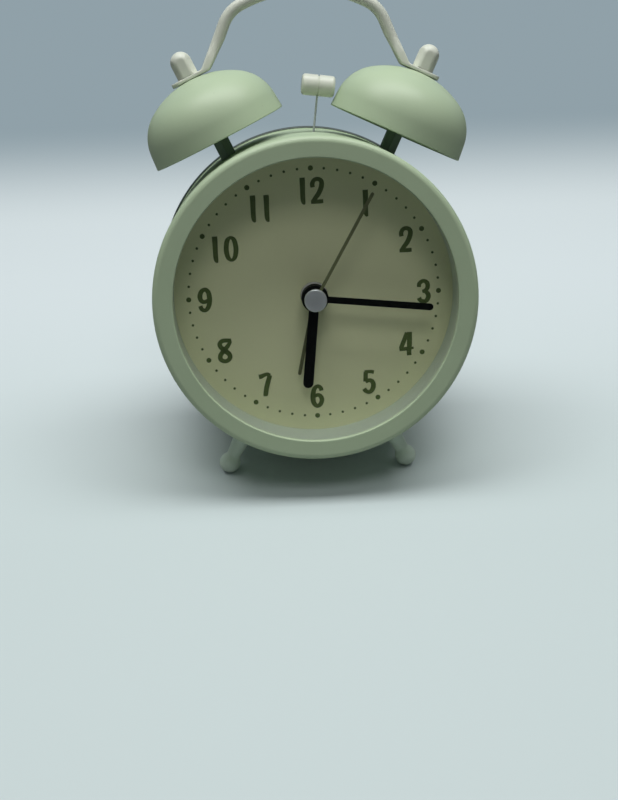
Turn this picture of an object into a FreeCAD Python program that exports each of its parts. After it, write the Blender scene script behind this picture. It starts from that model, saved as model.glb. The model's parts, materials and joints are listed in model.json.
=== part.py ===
import FreeCAD, Part
import math
import os
from FreeCAD import Vector as V

# Small twin-bell alarm clock with a quartz movement, in millimetres.
#
# Everything is modelled in the clock's own upright frame: X to the right as the dial is read,
# Y into the clock, Z up, with the dial's front face on Y = 0 and its centre at the origin.
# The last section leans the clock back onto its two feet and the rear rim, and stands it on Z = 0.

os.makedirs("parts", exist_ok=True)

# ---------------------------------------------------------------- driving dimensions
# Case: pressed bezel, deep-drawn can, moulded rear cover
CASE_R = 45.0            # outer radius of bezel and can
BEZEL_WALL = 0.8         # bezel sheet
BEZEL_FACE = 5.9         # width of the bezel's face, from the opening to the outer radius
BEZEL_EDGE_R = 2.8       # rounding of the bezel's outer front edge
BEZEL_CURL_R = 0.9       # rounding of the bezel's opening edge
BEZEL_FRONT = -15.1      # front face of the bezel
BEZEL_BACK = 1.4         # rear edge of the bezel
CAN_WALL = 0.6           # can sheet
CAN_GAP = 0.5            # visible gap between bezel and can shoulder
CAN_NECK_FRONT = -3.0    # how far the can's neck reaches into the bezel
BEAD_R = 0.8             # rolled bead round the can's rear rim
COVER_T = 2.2            # rear cover plate
COVER_INSET = 1.6        # rear cover's outer face, inside the bead's centre
LENS_T = 1.2
LENS_DEPTH = 2.2         # lens, behind the bezel's front face
SEAT_SET = 0.7           # inner wall of the spacer ring, outside the bezel's opening
SPACER_WALL = 1.8
SPACER_FOOT_T = 1.2      # foot flange of the spacer ring
DIAL_ROOM = 0.15         # dial, inside the can's neck
DIAL_T = 0.5
PLATE_T = 1.5            # dial plate behind the dial
FIT = 0.05               # sliding clearance of one part inside another
SLACK = 0.2              # loose clearance between moulded parts

# Bells, seen from the front on a plane through BELL_Y
BELL_Y = 12.0
BELL_TILT = 25.0         # bell axis, outward from vertical
BELL_X, BELL_Z = 25.0, 43.9   # centre of the rim
BELL_R = 20.0
BELL_H = 18.0
BELL_WALL = 0.8
BELL_SKIRT_H = 4.5       # near-straight skirt above the rim
BELL_SKIRT_ANGLE = 5.0   # flare of the skirt
BELL_CROWN_R = 26.0      # large arc over the top of the dome
BELL_TOP_R = 2.6         # flat seat for the handle's tab
POST_AF = 4.5            # hexagon post under the bell, across flats
STUD_R = 1.5             # M3 studs of the bells and the legs
STUD_CLEAR = 0.1
NUT_AF, NUT_H = 5.5, 2.4 # plain M3 nuts inside the can
CAP_AF = 5.5             # domed cap nut
CAP_HEX_H = 4.4
CAP_STEP, CAP_CHAMFER = 0.15, 0.9    # dome, inside the flats; chamfer of the hexagon
CAP_ROOM = 0.6           # stud, short of the cap nut's dome
STUD_PAST_NUT = 0.6      # thread showing past each plain nut

# Handle: round bar, flattened to a tab at each end
BAR_R = 1.65
TAB_T = 1.2
TAB_W = 6.0
TAB_IN, TAB_OUT = 6.0, 5.3    # tab, from the stud towards the bend and outward
BAR_LEAN = 23.8          # legs of the handle, inward from vertical
SHOULDER_R = 8.0
ARCH_TOP = 81.8          # height of the bar's centre line at the middle
ARCH_R = 80.0            # gentle curve of the handle's top
FLAT_LENGTH = 4.0        # over which the bar flattens into the tab
OVAL_TURN = 0.9          # share of the bend that the flattened end has turned

# Hammer and its electromagnet
PIVOT_Z = 31.0
HAMMER_REACH = 26.9      # pivot to the middle of the head
HAMMER_REST = 7.3        # rest angle, beside the right bell
HEAD_R, HEAD_L = 3.0, 9.4
HEAD_EDGE_R = 0.6
GROOVE_W, GROOVE_DEPTH = 0.5, 0.35   # groove round the middle of the head
WIRE_R = 0.28
HUB_R = 2.0
HUB_HALF = 1.5           # half thickness of the hub
SOCKET_R, SOCKET_L = 0.9, 2.2
TAIL_W = 1.8
PIN_R = 0.8
PIN_COLLAR = 0.7         # shoulder and head of the pin, beyond its radius
PIN_HEAD_T = 0.8
SLOT_W, SLOT_L = 2.4, 8.6     # slot for the wire in the can's top
MAGNET_TOP, MAGNET_H = 4.8, 3.4   # below the pivot
MAGNET_W, MAGNET_D = 3.6, 3.4
POLE_GAP = 0.45          # magnet to a pole, at either end of the swing
FRAME_X, FRAME_BOTTOM, FRAME_TOP = 9.0, 21.5, 36.5
FRAME_FRONT, FRAME_T, FRAME_CORNER_R = 5.0, 1.0, 2.0
FRAME_IN, FRAME_BOSS_R = 2.5, 1.8   # bosses under the frame's corners
YOKE_IN, YOKE_OUT, YOKE_T = 6.6, 8.0, 1.4
YOKE_FRONT, YOKE_BACK = 10.0, 22.0
POLE_T = 4.0
POLE_MARGIN = 0.3        # yoke, above and below the magnet
BOBBIN_FLANGE_T = 0.8
RINGER_FLANGE_R, RINGER_WINDING_R = 4.6, 4.0

# Legs
LEG_ANGLE = 27.5         # from straight down
LEG_Y = 5.5
LEG_REACH = 57.3         # centre of the ball from the case axis
BALL_R = 3.15
LEG_ROOT_R, LEG_NECK_R = 3.4, 2.1
FOOT_FLAT = 0.12         # wear flat under each ball

# Hands, measured from the centre; clock angles run clockwise from 12
HUB_HAND_R = 3.8         # round collet of the minute and hour hands
MINUTE = dict(length=33.5, width=1.75, angle=96.2, y=-6.2)
HOUR = dict(length=26.4, width=2.65, angle=185.9, y=-4.2)
SECOND = dict(length=33.5, width=0.85, angle=29.7, y=-8.2)
ALARM = dict(length=23.3, width=0.9, angle=192.4, y=-2.2)
HAND_T = 0.4
COLLET_DEPTH = 0.9
SECOND_HUB_R = 1.6
ALARM_HUB_WALL = 1.0
CAP_R, CAP_T = 3.25, 2.7 # round cap over the second hand
CAP_EDGE_R, CAP_DISH = 0.35, 0.5

# Movement: layers of wheels from front to back, each (front, back)
BOX_W = 52.0
BOX_BOTTOM, BOX_TOP = -24.0, 20.0
BOX_WALL = 1.2
LID_ROOM = 0.7           # last wheel, in front of the lid
MIDDLE = (7.8, 8.6)      # middle plate
ALARM_LAYER = (3.6, 4.4)
HOUR_LAYER = (4.9, 5.7)
MOTION_LAYER = (6.4, 7.2)
CENTRE_LAYER = (9.0, 9.6)
THIRD_LAYER = (10.2, 10.8)
SECOND_LAYER = (11.5, 12.1)
ROTOR_LAYER = (12.7, 13.3)
PINION_EXTRA = 0.15      # a pinion is this much longer than its wheel, each end
MODULE = 0.5             # setting and alarm wheels
FINE_MODULE = 0.3        # running train
ADDENDUM, DEDENDUM = 0.7, 1.05
TOOTH_ROOT, TOOTH_TIP = 0.27, 0.12   # half widths, in tooth pitches
SECOND_SHAFT_R = 0.5
TUBE_WALL = 0.65         # minute, hour and alarm tubes, one inside the other
BUSH_WALL = 1.15
KNOB_X = 20.0            # setting knobs, left and right of the centre
STEM_R = 1.5
PIVOT_R = 0.5
MAGNET_ROTOR_R = 3.0
PIVOT_DEPTH = 0.8        # pivot, into the plate or the lid
PILLAR_R, PILLAR_IN = 1.5, 3.5   # pillars under the middle plate, in from the tray's sides
STATOR = (10.2, 11.0)
STATOR_EYE = 4.5         # round the rotor
STATOR_BAR = 2.0         # width of the bar through the coil
STATOR_ARM = 2.4
STATOR_END = 11.0        # half length of the stator's core bar
ROTOR_GAP = 0.35
COIL_X, COIL_Z = 11.8, -19.0
COIL_HALF, COIL_FLANGE, COIL_WINDING = 7.7, 3.1, 2.7
BOARD = (-23.0, -7.0, -21.0, -9.5)   # left, right, bottom, top
BOARD_T = 1.0
CRYSTAL_R, CRYSTAL_L = 1.0, 6.0
LEAF_T, LEAF_W = 0.25, 2.6       # leaf of the alarm contact
LEAF_TIP, LEAF_FOOT, LEAF_END = 5.0, 20.5, 23.0   # along X
LEAF_LOW, LEAF_GAP = 4.2, 0.45   # lower edge; leaf, behind the hour wheel

# Battery bay, moulded into the rear cover
CELL_R, CELL_L = 7.1, 50.0
CELL_EDGE_R = 0.6
TIP_R, TIP_L = 2.7, 1.4  # raised end of the cell
TUB_GAP = 2.7            # battery tub, behind the movement
TUB_ROOM = 4.2           # lower corners of the tub, inside the can
BAY_WALL = 1.2
BAY_SLACK = 0.5          # round the cell
CONTACT_T, CONTACT_W, CONTACT_H, PAD_R = 0.4, 8.0, 10.0, 2.2
SPRING_T, SPRING_W, SPRING_H, SPRING_FOOT = 0.3, 5.0, 9.0, 1.2
CONTACT_ROOM = 1.9       # for a contact at each end
DOOR_T = 1.2
DOOR_LEDGE = 1.6
DOOR_RECESS = 0.3
DOOR_GAP = 0.15          # round the door
NOTCH_R, NOTCH_SET, NOTCH_DEPTH = 3.2, 0.6, 0.7   # finger notch at the door's top
GRIP_RIBS, GRIP_PITCH, GRIP_W = 4, 1.6, 12.0
GRIP_H, GRIP_RISE, GRIP_SET = 0.7, 0.25, 6.0
HINGE_PIN = 1.4          # each hinge pin, beyond the door's side

# Back of the clock
KNOB_R, KNOB_T = 6.5, 5.0
KNOB_EDGE_R, KNOB_END_T = 0.8, 1.2   # outer rounding; solid end over the stem
FLUTES, FLUTE_R, FLUTE_OUT = 14, 0.9, 0.4   # flute centres, outside the knob's radius
KNOB_STAND = 0.6         # knob, off the rear cover
BOSS_R, BOSS_IN = 2.8, 5.9   # screw bosses, their centres inside the can's wall
BOSS_ANGLES = (30.0, 150.0, 270.0)
SCREW_R, SCREW_HEAD_R, SCREW_HEAD_T = 1.1, 2.3, 1.2
SCREW_DEPTH, SCREW_END = 6.0, 0.5    # hole in the boss; screw, short of its end
SCREW_SET = 0.1          # screw head, below the cover's face
CROSS_HALF, CROSS_W, CROSS_DEPTH = 1.3, 0.5, 0.5
SWITCH_Z = 16.0
SWITCH_TRAVEL = 4.0
SWITCH_W, SWITCH_H = 3.8, 1.8   # shank, through its slot
SWITCH_GAP = 0.1         # shank, above and below in its slot
THUMB_LIP, THUMB_T, THUMB_H = 0.8, 1.0, 4.4
FLANGE_LIP, FLANGE_T, FLANGE_H = 1.2, 0.8, 4.8
THUMB_RIB_W, THUMB_RIB_T, THUMB_RIB_PITCH = 0.6, 0.6, 1.5

# ---------------------------------------------------------------- derived positions
BEZEL_OPENING_R = CASE_R - BEZEL_FACE
SEAT_R = BEZEL_OPENING_R + SEAT_SET      # visible radius of the dial
NECK_R = CASE_R - BEZEL_WALL - FIT
NECK_IN = NECK_R - CAN_WALL
DIAL_R = NECK_IN - DIAL_ROOM
CAN_INNER_R = CASE_R - CAN_WALL
CAN_SHOULDER = BEZEL_BACK + CAN_GAP
LENS_FRONT = BEZEL_FRONT + LENS_DEPTH
LENS_BACK = LENS_FRONT + LENS_T
PLATE_FRONT = DIAL_T
PLATE_BACK = PLATE_FRONT + PLATE_T
BOX_FRONT = PLATE_BACK
GEAR_FRONT = BOX_FRONT + BOX_WALL
GEAR_BACK = ROTOR_LAYER[1] + LID_ROOM
BOX_BACK = GEAR_BACK + BOX_WALL
BOX_X = BOX_W / 2
# the battery tub lies behind the movement, and the cover and the can end behind the tub
BAY_FLOOR = BOX_BACK + TUB_GAP
COVER_FRONT = BAY_FLOOR + BAY_WALL + BAY_SLACK + 2 * CELL_R
COVER_BACK = COVER_FRONT + COVER_T
CAN_REAR = COVER_BACK + COVER_INSET
BOSS_PITCH_R = CAN_INNER_R - BOSS_IN
STATOR_POSTS = [(COIL_X + side * (STATOR_END - STATOR_BAR / 2), COIL_Z) for side in (-1, 1)]


def turned(outline):
    """Solid of revolution about Y from a closed outline of edges in the X-Y plane, X being the radius."""
    face = Part.Face(Part.Wire(Part.sortEdges(outline)[0]))
    return face.revolve(V(0, 0, 0), V(0, 1, 0), 360)


def line(start, end):
    """Straight edge between two (x, y) points."""
    return Part.LineSegment(V(start[0], start[1], 0), V(end[0], end[1], 0)).toShape()


def path(points):
    """Straight edges through (x, y) points, one after the other."""
    return [line(a, b) for a, b in zip(points, points[1:])]


def corner(centre, radius, start, end):
    """Arc about (x, y) from one angle to another, in degrees, counterclockwise."""
    spots = []
    for angle in (start, (start + end) / 2, end):
        turn = math.radians(angle)
        spots.append(V(centre[0] + radius * math.cos(turn), centre[1] + radius * math.sin(turn), 0))
    return Part.Arc(*spots).toShape()


def disc(radius, front, back, x=0.0, z=0.0):
    """Round bar along Y."""
    return Part.makeCylinder(radius, back - front, V(x, front, z), V(0, 1, 0))


def tube(outer, inner, front, back, x=0.0, z=0.0):
    """Round tube along Y."""
    return disc(outer, front, back, x, z).cut(disc(inner, front - 1, back + 1, x, z))


def block(x0, x1, y0, y1, z0, z1):
    """Box between two corners."""
    return Part.makeBox(x1 - x0, y1 - y0, z1 - z0, V(x0, y0, z0))


def hexagon(across_flats, height, base=0.0):
    """Hexagonal bar along Z, one corner towards Y."""
    corner_r = across_flats / math.sqrt(3)
    spots = []
    for i in range(7):
        x, y = polar(corner_r, 90 + 60 * i)
        spots.append(V(x, y, base))
    return Part.Face(Part.makePolygon(spots)).extrude(V(0, 0, height))


def polar(radius, degrees):
    """Coordinates of a point at an angle from the first axis towards the second."""
    return radius * math.cos(math.radians(degrees)), radius * math.sin(math.radians(degrees))


def on_bell(shape, side):
    """Place a shape made round local Z onto a bell's axis: side is 1 on the right, -1 on the left."""
    placed = shape.copy()
    placed.rotate(V(0, 0, 0), V(0, 1, 0), BELL_TILT)
    placed.translate(V(BELL_X, BELL_Y, BELL_Z))
    return placed if side > 0 else placed.mirror(V(0, 0, 0), V(1, 0, 0))


def on_leg(shape, side):
    """Place a shape made round local Z, pointing outward, onto a leg's radial axis."""
    placed = shape.copy()
    placed.rotate(V(0, 0, 0), V(0, 1, 0), side * (180 - LEG_ANGLE))
    placed.translate(V(0, LEG_Y, 0))
    return placed


# ---------------------------------------------------------------- case
def make_bezel():
    """Pressed ring: return flange, rounded front and a plain outer wall."""
    t = BEZEL_WALL
    r_in = BEZEL_OPENING_R
    curl_x = r_in + BEZEL_CURL_R
    edge_x = CASE_R - BEZEL_EDGE_R
    curl_y = BEZEL_FRONT + BEZEL_CURL_R
    edge_y = BEZEL_FRONT + BEZEL_EDGE_R
    edges = [
        line((r_in, LENS_FRONT), (r_in, curl_y)),
        corner((curl_x, curl_y), BEZEL_CURL_R, 180, 270),
        line((curl_x, BEZEL_FRONT), (edge_x, BEZEL_FRONT)),
        corner((edge_x, edge_y), BEZEL_EDGE_R, 270, 360),
        line((CASE_R, edge_y), (CASE_R, BEZEL_BACK)),
        line((CASE_R, BEZEL_BACK), (CASE_R - t, BEZEL_BACK)),
        line((CASE_R - t, BEZEL_BACK), (CASE_R - t, edge_y)),
        corner((edge_x, edge_y), BEZEL_EDGE_R - t, 270, 360),
        line((edge_x, BEZEL_FRONT + t), (curl_x, BEZEL_FRONT + t)),
        corner((curl_x, curl_y), BEZEL_CURL_R - t, 180, 270),
        line((r_in + t, curl_y), (r_in + t, LENS_FRONT)),
        line((r_in + t, LENS_FRONT), (r_in, LENS_FRONT)),
    ]
    return turned(edges)


def make_can():
    """Drawn can: neck inside the bezel, shoulder, plain wall and a rolled rear bead."""
    wall = turned(path([
        (NECK_IN, CAN_NECK_FRONT), (NECK_R, CAN_NECK_FRONT), (NECK_R, CAN_SHOULDER),
        (CASE_R, CAN_SHOULDER), (CASE_R, CAN_REAR), (CAN_INNER_R, CAN_REAR),
        (CAN_INNER_R, CAN_SHOULDER + CAN_WALL), (NECK_IN, CAN_SHOULDER + CAN_WALL),
        (NECK_IN, CAN_NECK_FRONT)]))
    bead = Part.makeTorus(CASE_R, BEAD_R, V(0, CAN_REAR, 0), V(0, 1, 0))
    can = wall.fuse(bead)
    half = SLOT_L / 2 - SLOT_W / 2
    low, high = CAN_INNER_R - 2, CASE_R + 1
    slot = block(-half, half, BELL_Y - SLOT_W / 2, BELL_Y + SLOT_W / 2, low, high)
    for side in (-1, 1):
        end = Part.makeCylinder(SLOT_W / 2, high - low, V(side * half, BELL_Y, low))
        slot = slot.fuse(end)
        hole = Part.makeCylinder(STUD_R + STUD_CLEAR, BELL_H, V(0, 0, -BELL_H))
        can = can.cut(on_bell(hole, side))
        hole = Part.makeCylinder(STUD_R + STUD_CLEAR, high - low, V(0, 0, low))
        can = can.cut(on_leg(hole, side))
    return can.cut(slot)


def make_spacer_ring():
    """Ring that holds the lens off the dial, with a foot flange on the dial."""
    outer = SEAT_R + SPACER_WALL
    return turned(path([
        (SEAT_R, LENS_BACK), (outer, LENS_BACK), (outer, -SPACER_FOOT_T), (DIAL_R, -SPACER_FOOT_T),
        (DIAL_R, 0), (SEAT_R, 0), (SEAT_R, LENS_BACK)]))


def make_dial_plate():
    """Moulded plate behind the dial: long screw bosses for the cover, short ones for the ringer."""
    plate = tube(DIAL_R, BUSH_R + FIT, PLATE_FRONT, PLATE_BACK)
    for angle in BOSS_ANGLES:
        x, z = polar(BOSS_PITCH_R, angle)
        plate = plate.fuse(disc(BOSS_R, PLATE_BACK, COVER_FRONT, x, z))
        plate = plate.cut(disc(SCREW_R, COVER_FRONT - SCREW_DEPTH, COVER_FRONT, x, z))
    for x in (FRAME_IN - FRAME_X, FRAME_X - FRAME_IN):
        for z in (FRAME_BOTTOM + FRAME_IN, FRAME_TOP - FRAME_IN):
            plate = plate.fuse(disc(FRAME_BOSS_R, PLATE_BACK, FRAME_FRONT, x, z))
    return plate


def make_leg(side):
    """Cast leg: conical neck, ball foot with a small flat, threaded stud into the can."""
    neck_length = LEG_REACH - BALL_R / 2 - CAN_INNER_R
    cone = Part.makeCone(LEG_ROOT_R, LEG_NECK_R, neck_length, V(0, 0, CAN_INNER_R))
    ball = Part.makeSphere(BALL_R, V(0, 0, LEG_REACH))
    stud_end = NUT_SEAT - NUT_H - STUD_PAST_NUT
    stud = Part.makeCylinder(STUD_R, LEG_REACH - stud_end, V(0, 0, stud_end))
    leg = on_leg(cone, side).cut(disc(CASE_R, 0, CAN_REAR))
    leg = leg.fuse([on_leg(ball, side), on_leg(stud, side)])
    return leg.removeSplitter()


def make_nuts():
    """Plain nuts inside the can, on the two bell studs and the two leg studs."""
    bore = Part.makeCylinder(STUD_R + FIT, NUT_H)
    nut = hexagon(NUT_AF, NUT_H).cut(bore)
    under_bell = nut.copy()
    under_bell.translate(V(0, 0, BELL_NUT_TOP - NUT_H))
    # a flat towards Y keeps the leg's nut clear of the can's shoulder
    above_leg = nut.copy()
    above_leg.rotate(V(0, 0, 0), V(0, 0, 1), 30)
    above_leg.translate(V(0, 0, NUT_SEAT - NUT_H))
    nuts = []
    for side in (-1, 1):
        nuts += [on_bell(under_bell, side), on_leg(above_leg, side)]
    return Part.makeCompound(nuts)


# ---------------------------------------------------------------- bells and handle
def dome_edges(inset):
    """Meridian of the bell, `inset` inside its outer surface: skirt, shoulder arc, crown arc."""
    slope = math.radians(BELL_SKIRT_ANGLE)
    skirt_top = V(BELL_R - inset - BELL_SKIRT_H * math.tan(slope), BELL_SKIRT_H, 0)
    crown_r = BELL_CROWN_R - inset
    crown_centre = V(0, BELL_H - BELL_CROWN_R, 0)
    # the shoulder arc is tangent to the skirt and, inside, to the crown
    inward = V(-math.cos(slope), -math.sin(slope), 0)
    arm = skirt_top - crown_centre
    shoulder_r = (crown_r ** 2 - arm.dot(arm)) / (2 * (arm.dot(inward) + crown_r))
    shoulder = skirt_top + inward * shoulder_r
    joint = (shoulder - crown_centre).normalize()
    meeting = crown_centre + joint * crown_r
    halfway = shoulder + (joint - inward).normalize() * shoulder_r
    top = crown_centre + V(BELL_TOP_R, math.sqrt(crown_r ** 2 - BELL_TOP_R ** 2), 0)
    crown_way = crown_centre + (meeting + top - crown_centre * 2).normalize() * crown_r
    edges = [line((BELL_R - inset, 0), (skirt_top.x, skirt_top.y)),
             Part.Arc(skirt_top, halfway, meeting).toShape(),
             Part.Arc(meeting, crown_way, top).toShape()]
    return edges, (BELL_R - inset, 0), (top.x, top.y)


def make_bell(side):
    """Gong: thin dome with a flat seat and a stud hole, mouth towards the case."""
    outer, outer_rim, outer_top = dome_edges(0)
    inner, inner_rim, inner_top = dome_edges(BELL_WALL)
    hole = STUD_R + STUD_CLEAR
    edges = outer + inner
    edges += [line(outer_rim, inner_rim), line(outer_top, (hole, outer_top[1]))]
    edges += [line((hole, outer_top[1]), (hole, inner_top[1])), line((hole, inner_top[1]), inner_top)]
    bell = turned(edges)
    bell.rotate(V(0, 0, 0), V(1, 0, 0), 90)
    return on_bell(bell, side)


def make_post(side):
    """Hexagonal post from the can to the inside of the bell, bored for the stud."""
    post = hexagon(POST_AF, BELL_SEAT_IN - POST_LOW, POST_LOW)
    post = post.cut(Part.makeCylinder(STUD_R + FIT, BELL_SEAT_IN - POST_LOW, V(0, 0, POST_LOW)))
    return on_bell(post, side).cut(disc(CASE_R, 0, CAN_REAR))


def make_studs():
    """Threaded rod through each post, from the nut inside the can into the cap nut."""
    low = BELL_NUT_TOP - NUT_H - STUD_PAST_NUT
    high = BELL_SEAT + TAB_T + CAP_HEX_H - CAP_ROOM
    rod = Part.makeCylinder(STUD_R, high - low, V(0, 0, low))
    return Part.makeCompound([on_bell(rod, side) for side in (-1, 1)])


def make_cap_nuts():
    """Domed cap nuts: hexagon, chamfered at its upper end, under a round cap."""
    dome_r = CAP_AF / 2 - CAP_STEP
    chamfer_h = CAP_CHAMFER
    lower = Part.makeCylinder(CAP_AF, CAP_HEX_H - chamfer_h)
    chamfer = Part.makeCone(CAP_AF / 2 + chamfer_h, dome_r, chamfer_h, V(0, 0, CAP_HEX_H - chamfer_h))
    body = hexagon(CAP_AF, CAP_HEX_H).common(lower.fuse(chamfer))
    cap = Part.makeSphere(dome_r, V(0, 0, CAP_HEX_H), V(0, 0, 1), 0, 90)
    bore = Part.makeCylinder(STUD_R + FIT, CAP_HEX_H)
    nut = body.fuse(cap).removeSplitter().cut(bore)
    nut.translate(V(0, 0, BELL_SEAT + TAB_T))
    return Part.makeCompound([on_bell(nut, side) for side in (-1, 1)])


def bar_route():
    """Centre line of the handle's bar in the X-Z plane, from the right bend to the left one."""
    lean = math.radians(BAR_LEAN)
    tilt = math.radians(BELL_TILT)
    mid = BELL_SEAT + TAB_T / 2
    bend = V(BELL_X - TAB_IN * math.cos(tilt) + mid * math.sin(tilt), BELL_Y,
             BELL_Z + TAB_IN * math.sin(tilt) + mid * math.cos(tilt))
    along = V(-math.sin(lean), 0, math.cos(lean))
    inward = V(-math.cos(lean), 0, -math.sin(lean))
    arch_centre = V(0, BELL_Y, ARCH_TOP - ARCH_R)
    # centre of the shoulder arc: on a line beside the leg, and inside the arch by its own radius
    offset = bend + inward * SHOULDER_R - arch_centre
    half = offset.dot(along)
    reach = ARCH_R - SHOULDER_R
    travel = -half + math.sqrt(half * half - offset.dot(offset) + reach * reach)
    shoulder = bend + inward * SHOULDER_R + along * travel
    leg_top = bend + along * travel
    outward = (shoulder - arch_centre).normalize()
    arch_end = arch_centre + outward * ARCH_R
    middle = shoulder + (outward - inward).normalize() * SHOULDER_R
    return bend, along, leg_top, middle, arch_end


def mirrored(spot):
    return V(-spot.x, spot.y, spot.z)


def make_handle():
    """Bent bar, flattened at each end into a tab that sits on its bell."""
    bend, along, leg_top, middle, arch_end = bar_route()
    start = bend + along * FLAT_LENGTH
    top = V(0, BELL_Y, ARCH_TOP)
    edges = [
        Part.LineSegment(start, leg_top).toShape(),
        Part.Arc(leg_top, middle, arch_end).toShape(),
        Part.Arc(arch_end, top, mirrored(arch_end)).toShape(),
        Part.Arc(mirrored(arch_end), mirrored(middle), mirrored(leg_top)).toShape(),
        Part.LineSegment(mirrored(leg_top), mirrored(start)).toShape(),
    ]
    section = Part.Wire(Part.Circle(start, along, BAR_R).toShape())
    handle = Part.Wire(edges).makePipeShell([section], True, True)

    # flattened stretch: from the round bar to a thin oval at the bend
    tilt = math.radians(BELL_TILT)
    across = V(math.cos(tilt), 0, -math.sin(tilt))
    normal = V(math.sin(tilt), 0, math.cos(tilt))
    # the thin oval stands between the tab's plane and the bar's
    thin = (normal - across * OVAL_TURN) * (TAB_T / 2)
    flat = Part.Ellipse(bend + V(0, TAB_W / 2, 0), bend + thin, bend)
    loft = Part.makeLoft([section, Part.Wire(flat.toShape())], True)

    low = BELL_SEAT
    plate = Part.makeBox(TAB_IN + TAB_OUT - TAB_W / 2, TAB_W, TAB_T, V(-TAB_IN, -TAB_W / 2, low))
    plate = plate.fuse(Part.makeCylinder(TAB_W / 2, TAB_T, V(TAB_OUT - TAB_W / 2, 0, low)))
    plate = plate.fuse(Part.makeCylinder(TAB_T / 2, TAB_W, V(-TAB_IN, -TAB_W / 2, low + TAB_T / 2), V(0, 1, 0)))
    plate = plate.cut(Part.makeCylinder(STUD_R + STUD_CLEAR, TAB_T + 2, V(0, 0, low - 1)))
    for side in (-1, 1):
        flattened = loft if side > 0 else loft.mirror(V(0, 0, 0), V(1, 0, 0))
        handle = handle.fuse([flattened, on_bell(plate, side)])
    return handle.removeSplitter()


# ---------------------------------------------------------------- hammer and electromagnet
def swung(shape):
    """Turn a hammer part, made upright over the pivot, to its rest angle."""
    placed = shape.copy()
    placed.rotate(V(0, BELL_Y, PIVOT_Z), V(0, 1, 0), HAMMER_REST)
    return placed


def make_hammer_hub():
    """Brass hub on the pivot pin, with a socket for the wire and a tail for the magnet."""
    front, back = BELL_Y - HUB_HALF, BELL_Y + HUB_HALF
    hub = disc(HUB_R, front, back, 0, PIVOT_Z)
    hub = hub.fuse(Part.makeCylinder(SOCKET_R, HUB_R + SOCKET_L, V(0, BELL_Y, PIVOT_Z)))
    hub = hub.fuse(block(-TAIL_W / 2, TAIL_W / 2, front, back, PIVOT_Z - MAGNET_TOP, PIVOT_Z - PIN_R))
    hub = hub.cut(disc(PIN_R + FIT, front - 1, back + 1, 0, PIVOT_Z))
    wire = Part.makeCylinder(WIRE_R + FIT / 2, SOCKET_L, V(0, BELL_Y, PIVOT_Z + HUB_R))
    return swung(hub.cut(wire))


def make_hammer_magnet():
    """Small bar magnet on the end of the hub's tail."""
    top = PIVOT_Z - MAGNET_TOP
    return swung(block(-MAGNET_W / 2, MAGNET_W / 2, BELL_Y - MAGNET_D / 2, BELL_Y + MAGNET_D / 2,
                       top - MAGNET_H, top))


def make_hammer_wire():
    """Spring wire from the hub, through the can's slot, to the middle of the head."""
    length = HAMMER_REACH - HUB_R
    return swung(Part.makeCylinder(WIRE_R, length, V(0, BELL_Y, PIVOT_Z + HUB_R)))


def make_hammer_head():
    """Short round mallet with rounded ends and a groove round its middle."""
    centre = V(0, BELL_Y, PIVOT_Z + HAMMER_REACH)
    head = Part.makeCylinder(HEAD_R, HEAD_L, centre - V(HEAD_L / 2, 0, 0), V(1, 0, 0))
    rims = [e for e in head.Edges if e.Curve.TypeId == "Part::GeomCircle"]
    head = head.makeFillet(HEAD_EDGE_R, rims)
    ring = Part.makeCylinder(HEAD_R + 1, GROOVE_W, centre - V(GROOVE_W / 2, 0, 0), V(1, 0, 0))
    ring = ring.cut(Part.makeCylinder(HEAD_R - GROOVE_DEPTH, 2, centre - V(1, 0, 0), V(1, 0, 0)))
    bore = Part.makeCylinder(WIRE_R + FIT / 2, HEAD_R + 1, centre - V(0, 0, HEAD_R + 1))
    return swung(head.cut(ring).cut(bore))


def make_hammer_pivot():
    """Shouldered pin riveted into the ringer frame, with a head that keeps the hub on."""
    front, back = BELL_Y - HUB_HALF - SLACK, BELL_Y + HUB_HALF + SLACK
    pin = disc(PIN_R, FRAME_FRONT, back, 0, PIVOT_Z)
    shoulder = disc(PIN_R + PIN_COLLAR, FRAME_FRONT + FRAME_T, front, 0, PIVOT_Z)
    head = disc(PIN_R + PIN_COLLAR, back, back + PIN_HEAD_T, 0, PIVOT_Z)
    return pin.fuse([shoulder, head])


def make_ringer_frame():
    """Sheet-steel bracket on the dial plate's short bosses, with two ears for the yoke."""
    frame = block(-FRAME_X, FRAME_X, FRAME_FRONT, FRAME_FRONT + FRAME_T, FRAME_BOTTOM, FRAME_TOP)
    posts = [e for e in frame.Edges if abs(e.tangentAt(e.FirstParameter).y) > 0.9]
    frame = frame.makeFillet(FRAME_CORNER_R, posts)
    for side in (-1, 1):
        inner, outer = sorted((side * YOKE_IN, side * YOKE_OUT))
        frame = frame.fuse(block(inner, outer, FRAME_FRONT + FRAME_T, YOKE_FRONT, YOKE_LOW, YOKE_HIGH))
    return frame.cut(disc(PIN_R, FRAME_FRONT - 1, FRAME_FRONT + FRAME_T + 1, 0, PIVOT_Z))


def make_ringer_yoke():
    """Soft-iron yoke: back bar through the coil, two arms, and poles either side of the magnet."""
    yoke = block(-YOKE_OUT, YOKE_OUT, YOKE_BACK - YOKE_T, YOKE_BACK, YOKE_LOW, YOKE_HIGH)
    for side in (-1, 1):
        inner, outer = sorted((side * YOKE_IN, side * YOKE_OUT))
        yoke = yoke.fuse(block(inner, outer, YOKE_FRONT, YOKE_BACK, YOKE_LOW, YOKE_HIGH))
        inner, outer = sorted((side * POLE_X, side * YOKE_IN))
        yoke = yoke.fuse(block(inner, outer, YOKE_FRONT, YOKE_FRONT + POLE_T, YOKE_LOW, YOKE_HIGH))
    return yoke.removeSplitter()


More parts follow.
